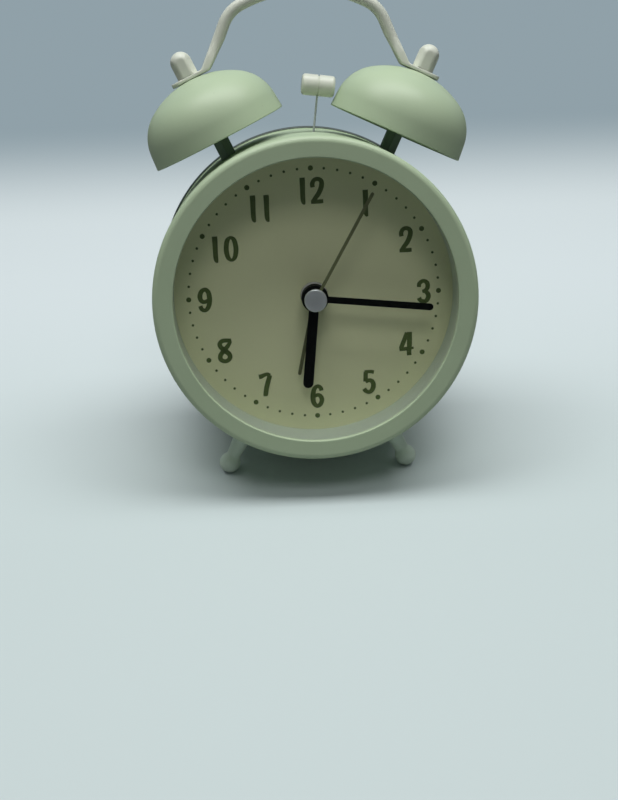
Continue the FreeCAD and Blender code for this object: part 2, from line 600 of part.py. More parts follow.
def bobbin(length, flange, winding, hole_y, hole_z):
    """Coil along X about the origin: a winding between two flanges, bored for a flat core."""
    half = length / 2
    inner = half - BOBBIN_FLANGE_T
    coil = turned(path([(0, -half), (flange, -half), (flange, -inner), (winding, -inner),
                        (winding, inner), (flange, inner), (flange, half), (0, half), (0, -half)]))
    coil.rotate(V(0, 0, 0), V(0, 0, 1), -90)
    return coil.cut(block(-half - 1, half + 1, -hole_y, hole_y, -hole_z, hole_z))


def make_ringer_coil():
    """Coil on the yoke's back bar, filling the space between the arms."""
    length = 2 * (YOKE_IN - SLACK)
    coil = bobbin(length, RINGER_FLANGE_R, RINGER_WINDING_R, YOKE_T / 2 + FIT, (YOKE_HIGH - YOKE_LOW) / 2 + FIT)
    coil.translate(V(0, YOKE_BACK - YOKE_T / 2, (YOKE_LOW + YOKE_HIGH) / 2))
    return coil


# ---------------------------------------------------------------- movement
def wheel(teeth, module, layer, spot, phase, extra=0.0):
    """Spur wheel with straight-flanked teeth; phase is the angle of one tooth's middle."""
    pitch_r = teeth * module / 2
    tip_r = pitch_r + ADDENDUM * module
    root_r = pitch_r - DEDENDUM * module
    step = 360 / teeth
    flank = ((root_r, -TOOTH_ROOT), (tip_r, -TOOTH_TIP), (tip_r, TOOTH_TIP), (root_r, TOOTH_ROOT))
    spots = []
    for i in range(teeth):
        for radius, share in flank:
            x, z = polar(radius, phase + (i + share) * step)
            spots.append(V(spot[0] + x, layer[0] - extra, spot[1] + z))
    spots.append(spots[0])
    return Part.Face(Part.makePolygon(spots)).extrude(V(0, layer[1] - layer[0] + 2 * extra, 0))


def meshed(spot_a, teeth_a, phase_a, spot_b, teeth_b):
    """Phase that puts wheel b's gap over wheel a's tooth on the line between them."""
    heading = math.degrees(math.atan2(spot_b[1] - spot_a[1], spot_b[0] - spot_a[0]))
    tooth = (heading - phase_a) * teeth_a / 360
    return heading + 180 - (0.5 - tooth) * 360 / teeth_b


def beside(spot, distance, degrees):
    """Spot at a distance and angle from another spot."""
    x, z = polar(distance, degrees)
    return spot[0] + x, spot[1] + z


# wheel counts, (driver, driven)
ROTOR_TEETH, INTERMEDIATE_TEETH = 6, 36
STEP_TEETH, SECOND_TEETH = 8, 40
SECOND_PINION, THIRD_TEETH = 8, 60
THIRD_PINION, CENTRE_TEETH = 6, 48
CANNON_TEETH, MOTION_TEETH = 12, 36
MOTION_PINION, HOUR_TEETH = 10, 40
TIME_TEETH = 12
ALARM_TEETH, IDLER_TEETH, ALARM_PINION = 36, 16, 12

# axes in the X-Z plane
CENTRE = (0.0, 0.0)
TIME_AXIS = (-KNOB_X, 0.0)
ALARM_AXIS = (KNOB_X, 0.0)
MOTION_DIST = MODULE * (CANNON_TEETH + MOTION_TEETH) / 2
MOTION_AXIS = (-KNOB_X / 2, -math.sqrt(MOTION_DIST ** 2 - (KNOB_X / 2) ** 2))
HOUR_MODULE = 2 * MOTION_DIST / (MOTION_PINION + HOUR_TEETH)
IDLER_AXIS = (MODULE * (ALARM_TEETH + IDLER_TEETH) / 2, 0.0)
ALARM_MODULE = 2 * (KNOB_X - IDLER_AXIS[0]) / (IDLER_TEETH + ALARM_PINION)
THIRD_DIST = FINE_MODULE * (SECOND_PINION + THIRD_TEETH) / 2
THIRD_AXIS = beside(CENTRE, THIRD_DIST, 60)
CENTRE_MODULE = 2 * THIRD_DIST / (THIRD_PINION + CENTRE_TEETH)
INTERMEDIATE_AXIS = beside(CENTRE, THIRD_DIST, -60)
SECOND_MODULE = 2 * THIRD_DIST / (STEP_TEETH + SECOND_TEETH)
ROTOR_DIST = FINE_MODULE * (ROTOR_TEETH + INTERMEDIATE_TEETH) / 2
ROTOR_AXIS = beside(INTERMEDIATE_AXIS, ROTOR_DIST, -20)

# tubes round the centre, from the inside out
MINUTE_IN = SECOND_SHAFT_R + FIT
MINUTE_OUT = MINUTE_IN + TUBE_WALL
HOUR_IN = MINUTE_OUT + FIT
HOUR_OUT = HOUR_IN + TUBE_WALL
ALARM_IN = HOUR_OUT + FIT
ALARM_OUT = ALARM_IN + TUBE_WALL
BUSH_IN = ALARM_OUT + FIT
BUSH_R = BUSH_IN + BUSH_WALL
BUSH_FRONT = -0.6
TUBE_LIP = 0.1           # each tube, in front of the hand that it carries

# seats that more than one section uses
BELL_SEAT = dome_edges(0)[2][1]
BELL_SEAT_IN = dome_edges(BELL_WALL)[2][1]
NUT_CORNER = NUT_AF / math.sqrt(3)
AXIS_OFFSET = BELL_X * math.cos(math.radians(BELL_TILT)) - BELL_Z * math.sin(math.radians(BELL_TILT))
RIM_HEIGHT = BELL_X * math.sin(math.radians(BELL_TILT)) + BELL_Z * math.cos(math.radians(BELL_TILT))
POST_LOW = CAN_INNER_R - POST_AF / 2 - RIM_HEIGHT    # where the post starts, before the can trims it
BELL_NUT_TOP = math.sqrt(CAN_INNER_R ** 2 - (abs(AXIS_OFFSET) + NUT_CORNER) ** 2) - FIT - RIM_HEIGHT
NUT_SEAT = math.sqrt(CAN_INNER_R ** 2 - NUT_CORNER ** 2) - FIT
YOKE_HIGH = PIVOT_Z - MAGNET_TOP + POLE_MARGIN
YOKE_LOW = YOKE_HIGH - MAGNET_H - 2 * POLE_MARGIN
MAGNET_SWING = (MAGNET_TOP + MAGNET_H) * math.sin(math.radians(HAMMER_REST))
POLE_X = MAGNET_W / 2 + MAGNET_SWING + POLE_GAP


def make_movement_base():
    """Open tray with four pillars for the middle plate and the bush through the dial."""
    base = block(-BOX_X, BOX_X, BOX_FRONT, GEAR_BACK, BOX_BOTTOM, BOX_TOP)
    upright = [e for e in base.Edges if abs(e.tangentAt(e.FirstParameter).y) > 0.9]
    base = base.makeFillet(3.0, upright)
    base = base.cut(block(-BOX_X + BOX_WALL, BOX_X - BOX_WALL, GEAR_FRONT, GEAR_BACK + 1,
                          BOX_BOTTOM + BOX_WALL, BOX_TOP - BOX_WALL))
    for x in (PILLAR_IN - BOX_X, BOX_X - PILLAR_IN):
        for z in (BOX_BOTTOM + PILLAR_IN, BOX_TOP - PILLAR_IN):
            base = base.fuse(disc(PILLAR_R, GEAR_FRONT, MIDDLE[0], x, z))
    base = base.fuse(disc(BUSH_R, BUSH_FRONT, BOX_FRONT))
    base = base.cut(disc(BUSH_IN, BUSH_FRONT - 1, GEAR_FRONT + 1))
    for spot in (TIME_AXIS, ALARM_AXIS, MOTION_AXIS, IDLER_AXIS):
        base = base.cut(disc(PIVOT_R + FIT, GEAR_FRONT - PIVOT_DEPTH, GEAR_FRONT, *spot))
    return base


def make_middle_plate():
    """Plate that carries the inner pivots, with a window for the stepping coil."""
    inset = BOX_WALL + SLACK
    plate = block(-BOX_X + inset, BOX_X - inset, MIDDLE[0], MIDDLE[1], BOX_BOTTOM + inset, BOX_TOP - inset)
    for spot in STATOR_POSTS:
        plate = plate.fuse(disc(1.2, MIDDLE[1], STATOR[0], *spot))
    holes = [disc(MINUTE_OUT + SLACK, MIDDLE[0] - 1, MIDDLE[1] + 1)]
    holes += [disc(STEM_R + SLACK, MIDDLE[0] - 1, MIDDLE[1] + 1, *spot) for spot in (TIME_AXIS, ALARM_AXIS)]
    holes += [disc(PIVOT_R + FIT, MIDDLE[0] - 1, MIDDLE[1] + 1, *spot)
              for spot in (MOTION_AXIS, IDLER_AXIS, THIRD_AXIS, INTERMEDIATE_AXIS, ROTOR_AXIS)]
    holes.append(block(COIL_X - COIL_HALF - 0.5, COIL_X + COIL_HALF + 0.5, MIDDLE[0] - 1, MIDDLE[1] + 1,
                       COIL_Z - COIL_FLANGE - 0.4, COIL_Z + COIL_FLANGE + 0.4))
    return plate.cut(holes)


def make_movement_cover():
    """Lid of the movement, with pivot holes and holes for the two stems."""
    cover = block(-BOX_X, BOX_X, GEAR_BACK, BOX_BACK, BOX_BOTTOM, BOX_TOP)
    upright = [e for e in cover.Edges if abs(e.tangentAt(e.FirstParameter).y) > 0.9]
    cover = cover.makeFillet(3.0, upright)
    holes = [disc(PIVOT_R + FIT, GEAR_BACK - 1, GEAR_BACK + PIVOT_DEPTH, *spot)
             for spot in (CENTRE, THIRD_AXIS, INTERMEDIATE_AXIS, ROTOR_AXIS)]
    holes += [disc(STEM_R + SLACK, GEAR_BACK - 1, BOX_BACK + 1, *spot) for spot in (TIME_AXIS, ALARM_AXIS)]
    return cover.cut(holes)


def make_stator():
    """Iron plate round the rotor, closed below by the bar through the coil."""
    x, z = ROTOR_AXIS
    front, back = STATOR
    plate = disc(STATOR_EYE, front, back, x, z)
    low, high = COIL_Z - STATOR_BAR / 2, z + STATOR_ARM / 2
    plate = plate.fuse(block(COIL_X - STATOR_END, COIL_X + STATOR_END, front, back, low, low + STATOR_BAR))
    plate = plate.fuse(block(COIL_X - STATOR_END, COIL_X + STATOR_END, front, back, high - STATOR_ARM, high))
    for side in (-1, 1):
        end = COIL_X + side * STATOR_END
        inner, outer = sorted((end, end - side * STATOR_ARM))
        plate = plate.fuse(block(inner, outer, front, back, low, high))
    return plate.cut(disc(MAGNET_ROTOR_R + ROTOR_GAP, front - 1, back + 1, x, z)).removeSplitter()


def make_stepper_coil():
    """Coil that steps the rotor, on the stator's bar."""
    half_core = (STATOR[1] - STATOR[0]) / 2
    coil = bobbin(2 * COIL_HALF, COIL_FLANGE, COIL_WINDING, half_core + FIT, STATOR_BAR / 2 + FIT)
    coil.translate(V(COIL_X, (STATOR[0] + STATOR[1]) / 2, COIL_Z))
    return coil


def make_circuit_board():
    """Small board on the middle plate, with the moulded blob over its chip."""
    left, right, bottom, top = BOARD
    face = MIDDLE[1] + BOARD_T
    board = block(left, right, MIDDLE[1], face, bottom, top)
    blob_r, sunk, inset = 6.0, 5.5, 4.5
    blob = Part.makeSphere(blob_r, V(right - inset, face - sunk, bottom + inset))
    return board.fuse(blob.common(block(left, right, face - BOARD_T / 2, face + blob_r, bottom, top)))


def make_quartz_crystal():
    """Small metal can of the tuning-fork crystal, lying on the board."""
    left, top = BOARD[0], BOARD[3]
    start = V(left + 1.2, MIDDLE[1] + BOARD_T + CRYSTAL_R, top - 2 * CRYSTAL_R)
    return Part.makeCylinder(CRYSTAL_R, CRYSTAL_L, start, V(1, 0, 0))


def make_alarm_contact():
    """Leaf behind the hour wheel that closes the alarm circuit."""
    front = HOUR_LAYER[1] + LEAF_GAP
    high = LEAF_LOW + LEAF_W
    leaf = block(LEAF_TIP, LEAF_END, front, front + LEAF_T, LEAF_LOW, high)
    return leaf.fuse(block(LEAF_FOOT, LEAF_END, front, MIDDLE[0], LEAF_LOW, high))


def arbor(spot, front, back):
    """Plain pivoted arbor of a wheel."""
    return disc(PIVOT_R, front + FIT, back - FIT, *spot)


def make_train():
    """All wheels, each meshed to the one before it, as a dictionary of solids."""
    made = {}
    gear_front = GEAR_FRONT - PIVOT_DEPTH
    gear_back = GEAR_BACK + PIVOT_DEPTH
    extra = PINION_EXTRA

    # second wheel on the long shaft that carries the second hand
    second = wheel(SECOND_TEETH, SECOND_MODULE, SECOND_LAYER, CENTRE, 0)
    second = second.fuse(wheel(SECOND_PINION, FINE_MODULE, THIRD_LAYER, CENTRE, 0, extra))
    shaft = disc(SECOND_SHAFT_R, SECOND["y"] - TUBE_LIP, gear_back - FIT)
    made["second_wheel"] = second.fuse([shaft, disc(1.3, THIRD_LAYER[1] + extra, SECOND_LAYER[0])])

    phase = meshed(CENTRE, SECOND_TEETH, 0, INTERMEDIATE_AXIS, STEP_TEETH)
    inter = wheel(STEP_TEETH, SECOND_MODULE, SECOND_LAYER, INTERMEDIATE_AXIS, phase, extra)
    inter = inter.fuse(wheel(INTERMEDIATE_TEETH, FINE_MODULE, ROTOR_LAYER, INTERMEDIATE_AXIS, phase))
    inter = inter.fuse(disc(1.2, SECOND_LAYER[1] + extra, ROTOR_LAYER[0], *INTERMEDIATE_AXIS))
    made["intermediate_wheel"] = inter.fuse(arbor(INTERMEDIATE_AXIS, MIDDLE[0], gear_back))

    phase = meshed(INTERMEDIATE_AXIS, INTERMEDIATE_TEETH, phase, ROTOR_AXIS, ROTOR_TEETH)
    rotor = wheel(ROTOR_TEETH, FINE_MODULE, ROTOR_LAYER, ROTOR_AXIS, phase, extra)
    rotor = rotor.fuse(disc(MAGNET_ROTOR_R, STATOR[0] - 0.8, STATOR[1] + 0.8, *ROTOR_AXIS))
    made["rotor"] = rotor.fuse(arbor(ROTOR_AXIS, MIDDLE[0], gear_back))

    phase = meshed(CENTRE, SECOND_PINION, 0, THIRD_AXIS, THIRD_TEETH)
    third = wheel(THIRD_TEETH, FINE_MODULE, THIRD_LAYER, THIRD_AXIS, phase)
    third = third.fuse(wheel(THIRD_PINION, CENTRE_MODULE, CENTRE_LAYER, THIRD_AXIS, phase, extra))
    third = third.fuse(disc(0.9, CENTRE_LAYER[1] + extra, THIRD_LAYER[0], *THIRD_AXIS))
    made["third_wheel"] = third.fuse(arbor(THIRD_AXIS, MIDDLE[0], gear_back))

    phase = meshed(THIRD_AXIS, THIRD_PINION, phase, CENTRE, CENTRE_TEETH)
    centre = wheel(CENTRE_TEETH, CENTRE_MODULE, CENTRE_LAYER, CENTRE, phase)
    made["centre_wheel"] = centre.cut(disc(MINUTE_OUT + FIT, 0, GEAR_BACK))

    # cannon pinion on the minute tube, with the collar that drives it by friction
    cannon = wheel(CANNON_TEETH, MODULE, MOTION_LAYER, CENTRE, 0, extra)
    tube_body = disc(MINUTE_OUT, MINUTE["y"] - TUBE_LIP, CENTRE_LAYER[1] + FIT)
    collar = disc(MINUTE_OUT + 1, CENTRE_LAYER[1] + FIT, CENTRE_LAYER[1] + 0.35)
    bore = disc(MINUTE_IN, MINUTE["y"] - 2, GEAR_BACK)
    made["minute_arbor"] = cannon.fuse([tube_body, collar]).cut(bore)

    phase = meshed(CENTRE, CANNON_TEETH, 0, MOTION_AXIS, MOTION_TEETH)
    motion = wheel(MOTION_TEETH, MODULE, MOTION_LAYER, MOTION_AXIS, phase)
    motion = motion.fuse(wheel(MOTION_PINION, HOUR_MODULE, HOUR_LAYER, MOTION_AXIS, phase, extra))
    motion = motion.fuse(disc(1.4, HOUR_LAYER[1] + extra, MOTION_LAYER[0], *MOTION_AXIS))
    made["motion_wheel"] = motion.fuse(arbor(MOTION_AXIS, gear_front, MIDDLE[1]))

    hour_phase = meshed(MOTION_AXIS, MOTION_PINION, phase, CENTRE, HOUR_TEETH)
    hour = wheel(HOUR_TEETH, HOUR_MODULE, HOUR_LAYER, CENTRE, hour_phase)
    hour = hour.fuse(disc(HOUR_OUT, HOUR["y"] - TUBE_LIP, HOUR_LAYER[1]))
    made["hour_wheel"] = hour.cut(disc(HOUR_IN, HOUR["y"] - 2, GEAR_BACK))

    phase = meshed(MOTION_AXIS, MOTION_TEETH, phase, TIME_AXIS, TIME_TEETH)
    made["time_stem"] = make_stem(TIME_AXIS, MOTION_LAYER, TIME_TEETH, MODULE, phase)

    alarm = wheel(ALARM_TEETH, MODULE, ALARM_LAYER, CENTRE, 0)
    alarm = alarm.fuse(disc(ALARM_OUT, ALARM["y"] - TUBE_LIP, ALARM_LAYER[1]))
    made["alarm_wheel"] = alarm.cut(disc(ALARM_IN, ALARM["y"] - 2, GEAR_BACK))

    phase = meshed(CENTRE, ALARM_TEETH, 0, IDLER_AXIS, IDLER_TEETH)
    idler = wheel(IDLER_TEETH, MODULE, ALARM_LAYER, IDLER_AXIS, phase)
    made["alarm_idler"] = idler.fuse(arbor(IDLER_AXIS, gear_front, MIDDLE[1]))

    phase = meshed(IDLER_AXIS, IDLER_TEETH, phase, ALARM_AXIS, ALARM_PINION)
    made["alarm_stem"] = make_stem(ALARM_AXIS, ALARM_LAYER, ALARM_PINION, ALARM_MODULE, phase)
    return made


def make_stem(spot, layer, teeth, module, phase):
    """Stem from the movement to its knob, with a pinion and a pivot in front."""
    back = COVER_BACK + KNOB_STAND + KNOB_T - KNOB_END_T
    stem = disc(STEM_R, layer[1] + PINION_EXTRA, back, *spot)
    stem = stem.fuse(wheel(teeth, module, layer, spot, phase, PINION_EXTRA))
    return stem.fuse(disc(PIVOT_R, GEAR_FRONT - PIVOT_DEPTH + FIT, layer[1], *spot))


# ---------------------------------------------------------------- hands
def make_hand(hand, bore, hub_r):
    """Straight round-ended hand with a round hub, pointing at its clock angle."""
    half, front, back = hand["width"] / 2, hand["y"], hand["y"] + HAND_T
    blade = block(-half, half, front, back, 0, hand["length"] - half)
    blade = blade.fuse([disc(half, front, back, 0, hand["length"] - half), disc(hub_r, front, back)])
    blade = blade.cut(disc(bore, front - 1, back + 1)).removeSplitter()
    blade.rotate(V(0, 0, 0), V(0, 1, 0), hand["angle"])
    return blade


def make_collet_hand(hand, bore):
    """Hand whose hub carries a deeper collet that grips its tube."""
    blade = make_hand(hand, bore, HUB_HAND_R)
    return blade.fuse(tube(HUB_HAND_R, bore, hand["y"] + HAND_T, hand["y"] + HAND_T + COLLET_DEPTH))


def make_hand_cap():
    """Round cap, dished in front, pressed on the second shaft in front of the second hand."""
    front, back = SECOND["y"] - CAP_T, SECOND["y"]
    lip_out, lip_in = CAP_R - CAP_EDGE_R, CAP_R - 2 * CAP_EDGE_R
    edges = path([(0, front + CAP_DISH), (0, back), (CAP_R, back), (CAP_R, front + CAP_EDGE_R)])
    edges.append(corner((lip_out, front + CAP_EDGE_R), CAP_EDGE_R, 270, 360))
    edges.append(line((lip_out, front), (lip_in, front)))
    # the dish is part of a sphere whose centre lies in front, on the axis
    dish_r = (lip_in ** 2 + CAP_DISH ** 2) / (2 * CAP_DISH)
    lip_angle = math.degrees(math.acos(lip_in / dish_r))
    edges.append(corner((0, front + CAP_DISH - dish_r), dish_r, lip_angle, 90))
    cap = turned(edges)
    return cap.cut(disc(SECOND_SHAFT_R + FIT / 2, SECOND["y"] - TUBE_LIP - FIT, SECOND["y"] + 1))


# ---------------------------------------------------------------- back of the clock
BAY_X = CELL_L / 2 + CONTACT_ROOM
BAY_HALF = CELL_R + BAY_SLACK
TUB_DROP = math.sqrt((CAN_INNER_R - TUB_ROOM) ** 2 - (BAY_X + BAY_WALL) ** 2)   # tub's lower wall
BAY_Z = BAY_HALF + BAY_WALL - TUB_DROP
DOOR_OUT = COVER_BACK - DOOR_RECESS
DOOR_IN = DOOR_OUT - DOOR_T
HINGE_Y = (DOOR_IN + DOOR_OUT) / 2
HINGE_Z = BAY_Z - BAY_HALF - DOOR_LEDGE + DOOR_T / 2
DOOR_X = BAY_X + DOOR_LEDGE - DOOR_GAP
DOOR_TOP = BAY_Z + BAY_HALF + DOOR_LEDGE - DOOR_GAP
CELL_Y = COVER_FRONT - CELL_R


def make_rear_cover():
    """Moulded rear cover: battery tub, door recess, stem holes, switch slot, screw holes."""
    cover = disc(CAN_INNER_R - SLACK, COVER_FRONT, COVER_BACK)
    tub = block(-BAY_X - BAY_WALL, BAY_X + BAY_WALL, BAY_FLOOR, COVER_FRONT,
                BAY_Z - BAY_HALF - BAY_WALL, BAY_Z + BAY_HALF + BAY_WALL)
    cover = cover.fuse(tub)
    cover = cover.cut(block(-BAY_X, BAY_X, BAY_FLOOR + BAY_WALL, COVER_BACK + 1,
                            BAY_Z - BAY_HALF, BAY_Z + BAY_HALF))
    cover = cover.cut(block(-BAY_X - DOOR_LEDGE, BAY_X + DOOR_LEDGE, DOOR_IN - FIT, COVER_BACK + 1,
                            HINGE_Z - DOOR_T / 2 - 2 * FIT, BAY_Z + BAY_HALF + DOOR_LEDGE))
    pin_hole = Part.makeCylinder(DOOR_T / 2 + FIT, 2 * (DOOR_X + HINGE_PIN + SLACK),
                                 V(-DOOR_X - HINGE_PIN - SLACK, HINGE_Y, HINGE_Z), V(1, 0, 0))
    cuts = [pin_hole]
    for spot in (TIME_AXIS, ALARM_AXIS):
        cuts.append(disc(STEM_R + SLACK, COVER_FRONT - 1, COVER_BACK + 1, *spot))
    half = SWITCH_W / 2 + SWITCH_TRAVEL / 2 + SLACK
    half_h = SWITCH_H / 2 + SWITCH_GAP
    cuts.append(block(-half, half, COVER_FRONT - 1, COVER_BACK + 1, SWITCH_Z - half_h, SWITCH_Z + half_h))
    for angle in BOSS_ANGLES:
        x, z = polar(BOSS_PITCH_R, angle)
        cuts.append(disc(SCREW_R + STUD_CLEAR, COVER_FRONT - 1, COVER_BACK + 1, x, z))
        cuts.append(disc(SCREW_HEAD_R + SLACK, COVER_BACK - SCREW_HEAD_T, COVER_BACK + 1, x, z))
    return cover.cut(cuts)


def make_battery_door():
    """Door with a rounded lower edge, two hinge pins, grip ribs and a finger notch."""
    door = block(-DOOR_X, DOOR_X, DOOR_IN, DOOR_OUT, HINGE_Z, DOOR_TOP)
    bead = Part.makeCylinder(DOOR_T / 2, 2 * (DOOR_X + HINGE_PIN), V(-DOOR_X - HINGE_PIN, HINGE_Y, HINGE_Z),
                             V(1, 0, 0))
    door = door.fuse(bead)
    door = door.cut(disc(NOTCH_R, DOOR_OUT - NOTCH_DEPTH, DOOR_OUT + 1, 0, DOOR_TOP - NOTCH_SET))
    for i in range(GRIP_RIBS):
        z = DOOR_TOP - GRIP_SET - GRIP_PITCH * i
        door = door.fuse(block(-GRIP_W / 2, GRIP_W / 2, DOOR_OUT, DOOR_OUT + GRIP_RISE, z, z + GRIP_H))
    return door


def make_battery_cell():
    """Cylindrical cell with its raised positive end."""
    start, end = -CELL_L / 2, CELL_L / 2
    cell = Part.makeCylinder(CELL_R, CELL_L - TIP_L, V(start, CELL_Y, BAY_Z), V(1, 0, 0))
    rims = [e for e in cell.Edges if e.Curve.TypeId == "Part::GeomCircle"]
    cell = cell.makeFillet(CELL_EDGE_R, rims)
    root = end - TIP_L - CELL_EDGE_R
    return cell.fuse(Part.makeCylinder(TIP_R, end - root, V(root, CELL_Y, BAY_Z), V(1, 0, 0)))


def make_battery_spring():
    """Negative contact: a bowed leaf, standing against the bay's left wall."""
    side = CELL_Y - SPRING_W / 2
    crest = CONTACT_ROOM - FIT - BAY_X
    low, high = V(-BAY_X, side, BAY_Z - SPRING_H / 2), V(-BAY_X, side, BAY_Z + SPRING_H / 2)
    foot = V(0, 0, SPRING_FOOT)
    outline = [Part.Arc(low, V(crest, side, BAY_Z), high).toShape(),
               Part.LineSegment(high, high - foot).toShape(),
               Part.Arc(high - foot, V(crest - SPRING_T, side, BAY_Z), low + foot).toShape(),
               Part.LineSegment(low + foot, low).toShape()]
    return Part.Face(Part.Wire(outline)).extrude(V(0, SPRING_W, 0))


def make_battery_contact():
    """Positive contact: a flat plate with a raised pad, against the bay's right wall."""
    half_w, half_h = CONTACT_W / 2, CONTACT_H / 2
    plate = block(BAY_X - CONTACT_T, BAY_X, CELL_Y - half_w, CELL_Y + half_w, BAY_Z - half_h, BAY_Z + half_h)
    start = V(BAY_X - CONTACT_ROOM + FIT, CELL_Y, BAY_Z)
    pad = Part.makeCylinder(PAD_R, CONTACT_ROOM - CONTACT_T - FIT, start, V(1, 0, 0))
    return plate.fuse(pad)


def make_knob(spot):
    """Fluted knob with a rounded outer edge, bored for its stem."""
    front = COVER_BACK + KNOB_STAND
    back = front + KNOB_T
    knob = disc(KNOB_R, front, back, *spot)
    rim = [e for e in knob.Edges if e.Curve.TypeId == "Part::GeomCircle" and e.BoundBox.YMin > back - 0.1]
    knob = knob.makeFillet(KNOB_EDGE_R, rim)
    cuts = []
    for i in range(FLUTES):
        x, z = beside(spot, KNOB_R + FLUTE_OUT, i * 360 / FLUTES)
        cuts.append(disc(FLUTE_R, front - 1, back + 1, x, z))
    cuts.append(disc(STEM_R, front - 1, back - KNOB_END_T, *spot))
    return knob.cut(cuts)


def make_alarm_switch():
    """Slider: ribbed thumb piece outside, shank through the slot, flange inside; shown off."""
    x = -SWITCH_TRAVEL / 2
    inner, outer = COVER_FRONT - SLACK, COVER_BACK + SLACK

    def bar(centre, width, height, front, back):
        return block(centre - width / 2, centre + width / 2, front, back,
                     SWITCH_Z - height / 2, SWITCH_Z + height / 2)

    shank = bar(x, SWITCH_W, SWITCH_H, inner, outer)
    face = outer + THUMB_T
    thumb = bar(x, SWITCH_W + 2 * THUMB_LIP, THUMB_H, outer, face)
    flange = bar(x, SWITCH_W + 2 * FLANGE_LIP, FLANGE_H, inner - FLANGE_T, inner)
    ribs = [bar(x + step * THUMB_RIB_PITCH, THUMB_RIB_W, THUMB_H, face, face + THUMB_RIB_T)
            for step in (-1, 0, 1)]
    return thumb.fuse([shank, flange] + ribs)


def make_cover_screws():
    """Pan-head screws through the rear cover into the long bosses."""
    screws = []
    for angle in BOSS_ANGLES:
        x, z = polar(BOSS_PITCH_R, angle)
        head_front, head_back = COVER_BACK - SCREW_HEAD_T, COVER_BACK - SCREW_SET
        screw = disc(SCREW_R, COVER_FRONT - SCREW_DEPTH + SCREW_END, head_front, x, z)
        head = disc(SCREW_HEAD_R, head_front, head_back, x, z)
        long, wide, floor = CROSS_HALF, CROSS_W / 2, head_back - CROSS_DEPTH
        slots = [block(x - long, x + long, floor, COVER_BACK, z - wide, z + wide),
                 block(x - wide, x + wide, floor, COVER_BACK, z - long, z + long)]
        screws.append(screw.fuse(head).cut(slots))
    return Part.makeCompound(screws)


# ---------------------------------------------------------------- all pieces
def make_all():
    """Every piece in the clock's upright frame, by name."""
    made = {
        "bezel": make_bezel(),
        "lens": disc(SEAT_R + SPACER_WALL, LENS_FRONT, LENS_BACK),
        "spacer_ring": make_spacer_ring(),
        "dial": tube(DIAL_R, BUSH_R + FIT, 0, DIAL_T),
        "dial_plate": make_dial_plate(),
        "can": make_can(),
        "rear_cover": make_rear_cover(),
        "cover_screws": make_cover_screws(),
        "inner_nuts": make_nuts(),
        "leg_left": make_leg(-1),
        "leg_right": make_leg(1),
        "bell_left": make_bell(-1),
        "bell_right": make_bell(1),
        "bell_post_left": make_post(-1),
        "bell_post_right": make_post(1),
        "bell_studs": make_studs(),
        "cap_nuts": make_cap_nuts(),
        "handle": make_handle(),
        "ringer_frame": make_ringer_frame(),
        "ringer_yoke": make_ringer_yoke(),
        "ringer_coil": make_ringer_coil(),
        "hammer_pivot": make_hammer_pivot(),
        "hammer_hub": make_hammer_hub(),
        "hammer_magnet": make_hammer_magnet(),
        "hammer_wire": make_hammer_wire(),
        "hammer_head": make_hammer_head(),
        "movement_base": make_movement_base(),
        "movement_middle_plate": make_middle_plate(),
        "movement_cover": make_movement_cover(),
        "stator": make_stator(),
        "stepper_coil": make_stepper_coil(),
        "circuit_board": make_circuit_board(),
        "quartz_crystal": make_quartz_crystal(),
        "alarm_contact": make_alarm_contact(),
        "second_hand": make_hand(SECOND, SECOND_SHAFT_R, SECOND_HUB_R),
        "hand_cap": make_hand_cap(),
        "minute_hand": make_collet_hand(MINUTE, MINUTE_OUT),
        "hour_hand": make_collet_hand(HOUR, HOUR_OUT),
        "alarm_hand": make_hand(ALARM, ALARM_OUT, ALARM_OUT + ALARM_HUB_WALL),
        "time_knob": make_knob(TIME_AXIS),
        "alarm_knob": make_knob(ALARM_AXIS),
        "alarm_switch": make_alarm_switch(),
        "battery_door": make_battery_door(),
        "battery_cell": make_battery_cell(),
        "battery_spring": make_battery_spring(),
        "battery_contact": make_battery_contact(),
    }
    made.update(make_train())
    return made


# ---------------------------------------------------------------- standing on the table
FOOT_Z = -LEG_REACH * math.cos(math.radians(LEG_ANGLE))
FOOT_R = BALL_R - FOOT_FLAT


def lean_angle():
    """Lean, in degrees, that puts the feet's flats and the rear bead on one plane."""
    dy, dz = CAN_REAR - LEG_Y, -CASE_R - FOOT_Z
    return math.degrees(math.atan2(dz, dy) + math.asin((FOOT_R - BEAD_R) / math.hypot(dy, dz)))


def leaned(shape):
    """Shape turned about X by the lean, with the feet's flats on Z = 0."""
    placed = shape.copy()
    placed.rotate(V(0, 0, 0), V(1, 0, 0), -lean_angle())
    placed.translate(V(0, 0, -FLOOR))
    return placed


def turned_back(y, z):
    """Y and Z of a point after the lean, before it is set on the floor."""
    lean = math.radians(lean_angle())
    return y * math.cos(lean) + z * math.sin(lean), z * math.cos(lean) - y * math.sin(lean)


FLOOR = turned_back(LEG_Y, FOOT_Z)[1] - FOOT_R


def stand(made):
    """Lean every piece, grind the feet flat, and centre the clock over the origin."""
    placed = {name: leaned(shape) for name, shape in made.items()}
    below = Part.makeBox(4 * CASE_R, 4 * CASE_R, 10, V(-2 * CASE_R, -2 * CASE_R, -10))
    for name in ("leg_left", "leg_right"):
        placed[name] = placed[name].cut(below)
    whole = Part.makeCompound(list(placed.values())).optimalBoundingBox(False, False)
    shift = V(0, -(whole.YMin + whole.YMax) / 2, 0)
    for shape in placed.values():
        shape.translate(shift)
    return placed, shift


UPRIGHT = make_all()
PIECES, SHIFT = stand(UPRIGHT)

if __name__ == "__main__":
    for name, shape in PIECES.items():
        shape.exportStep("parts/" + name + ".step")
    print(len(PIECES), "nodes, lean %.2f degrees" % lean_angle())
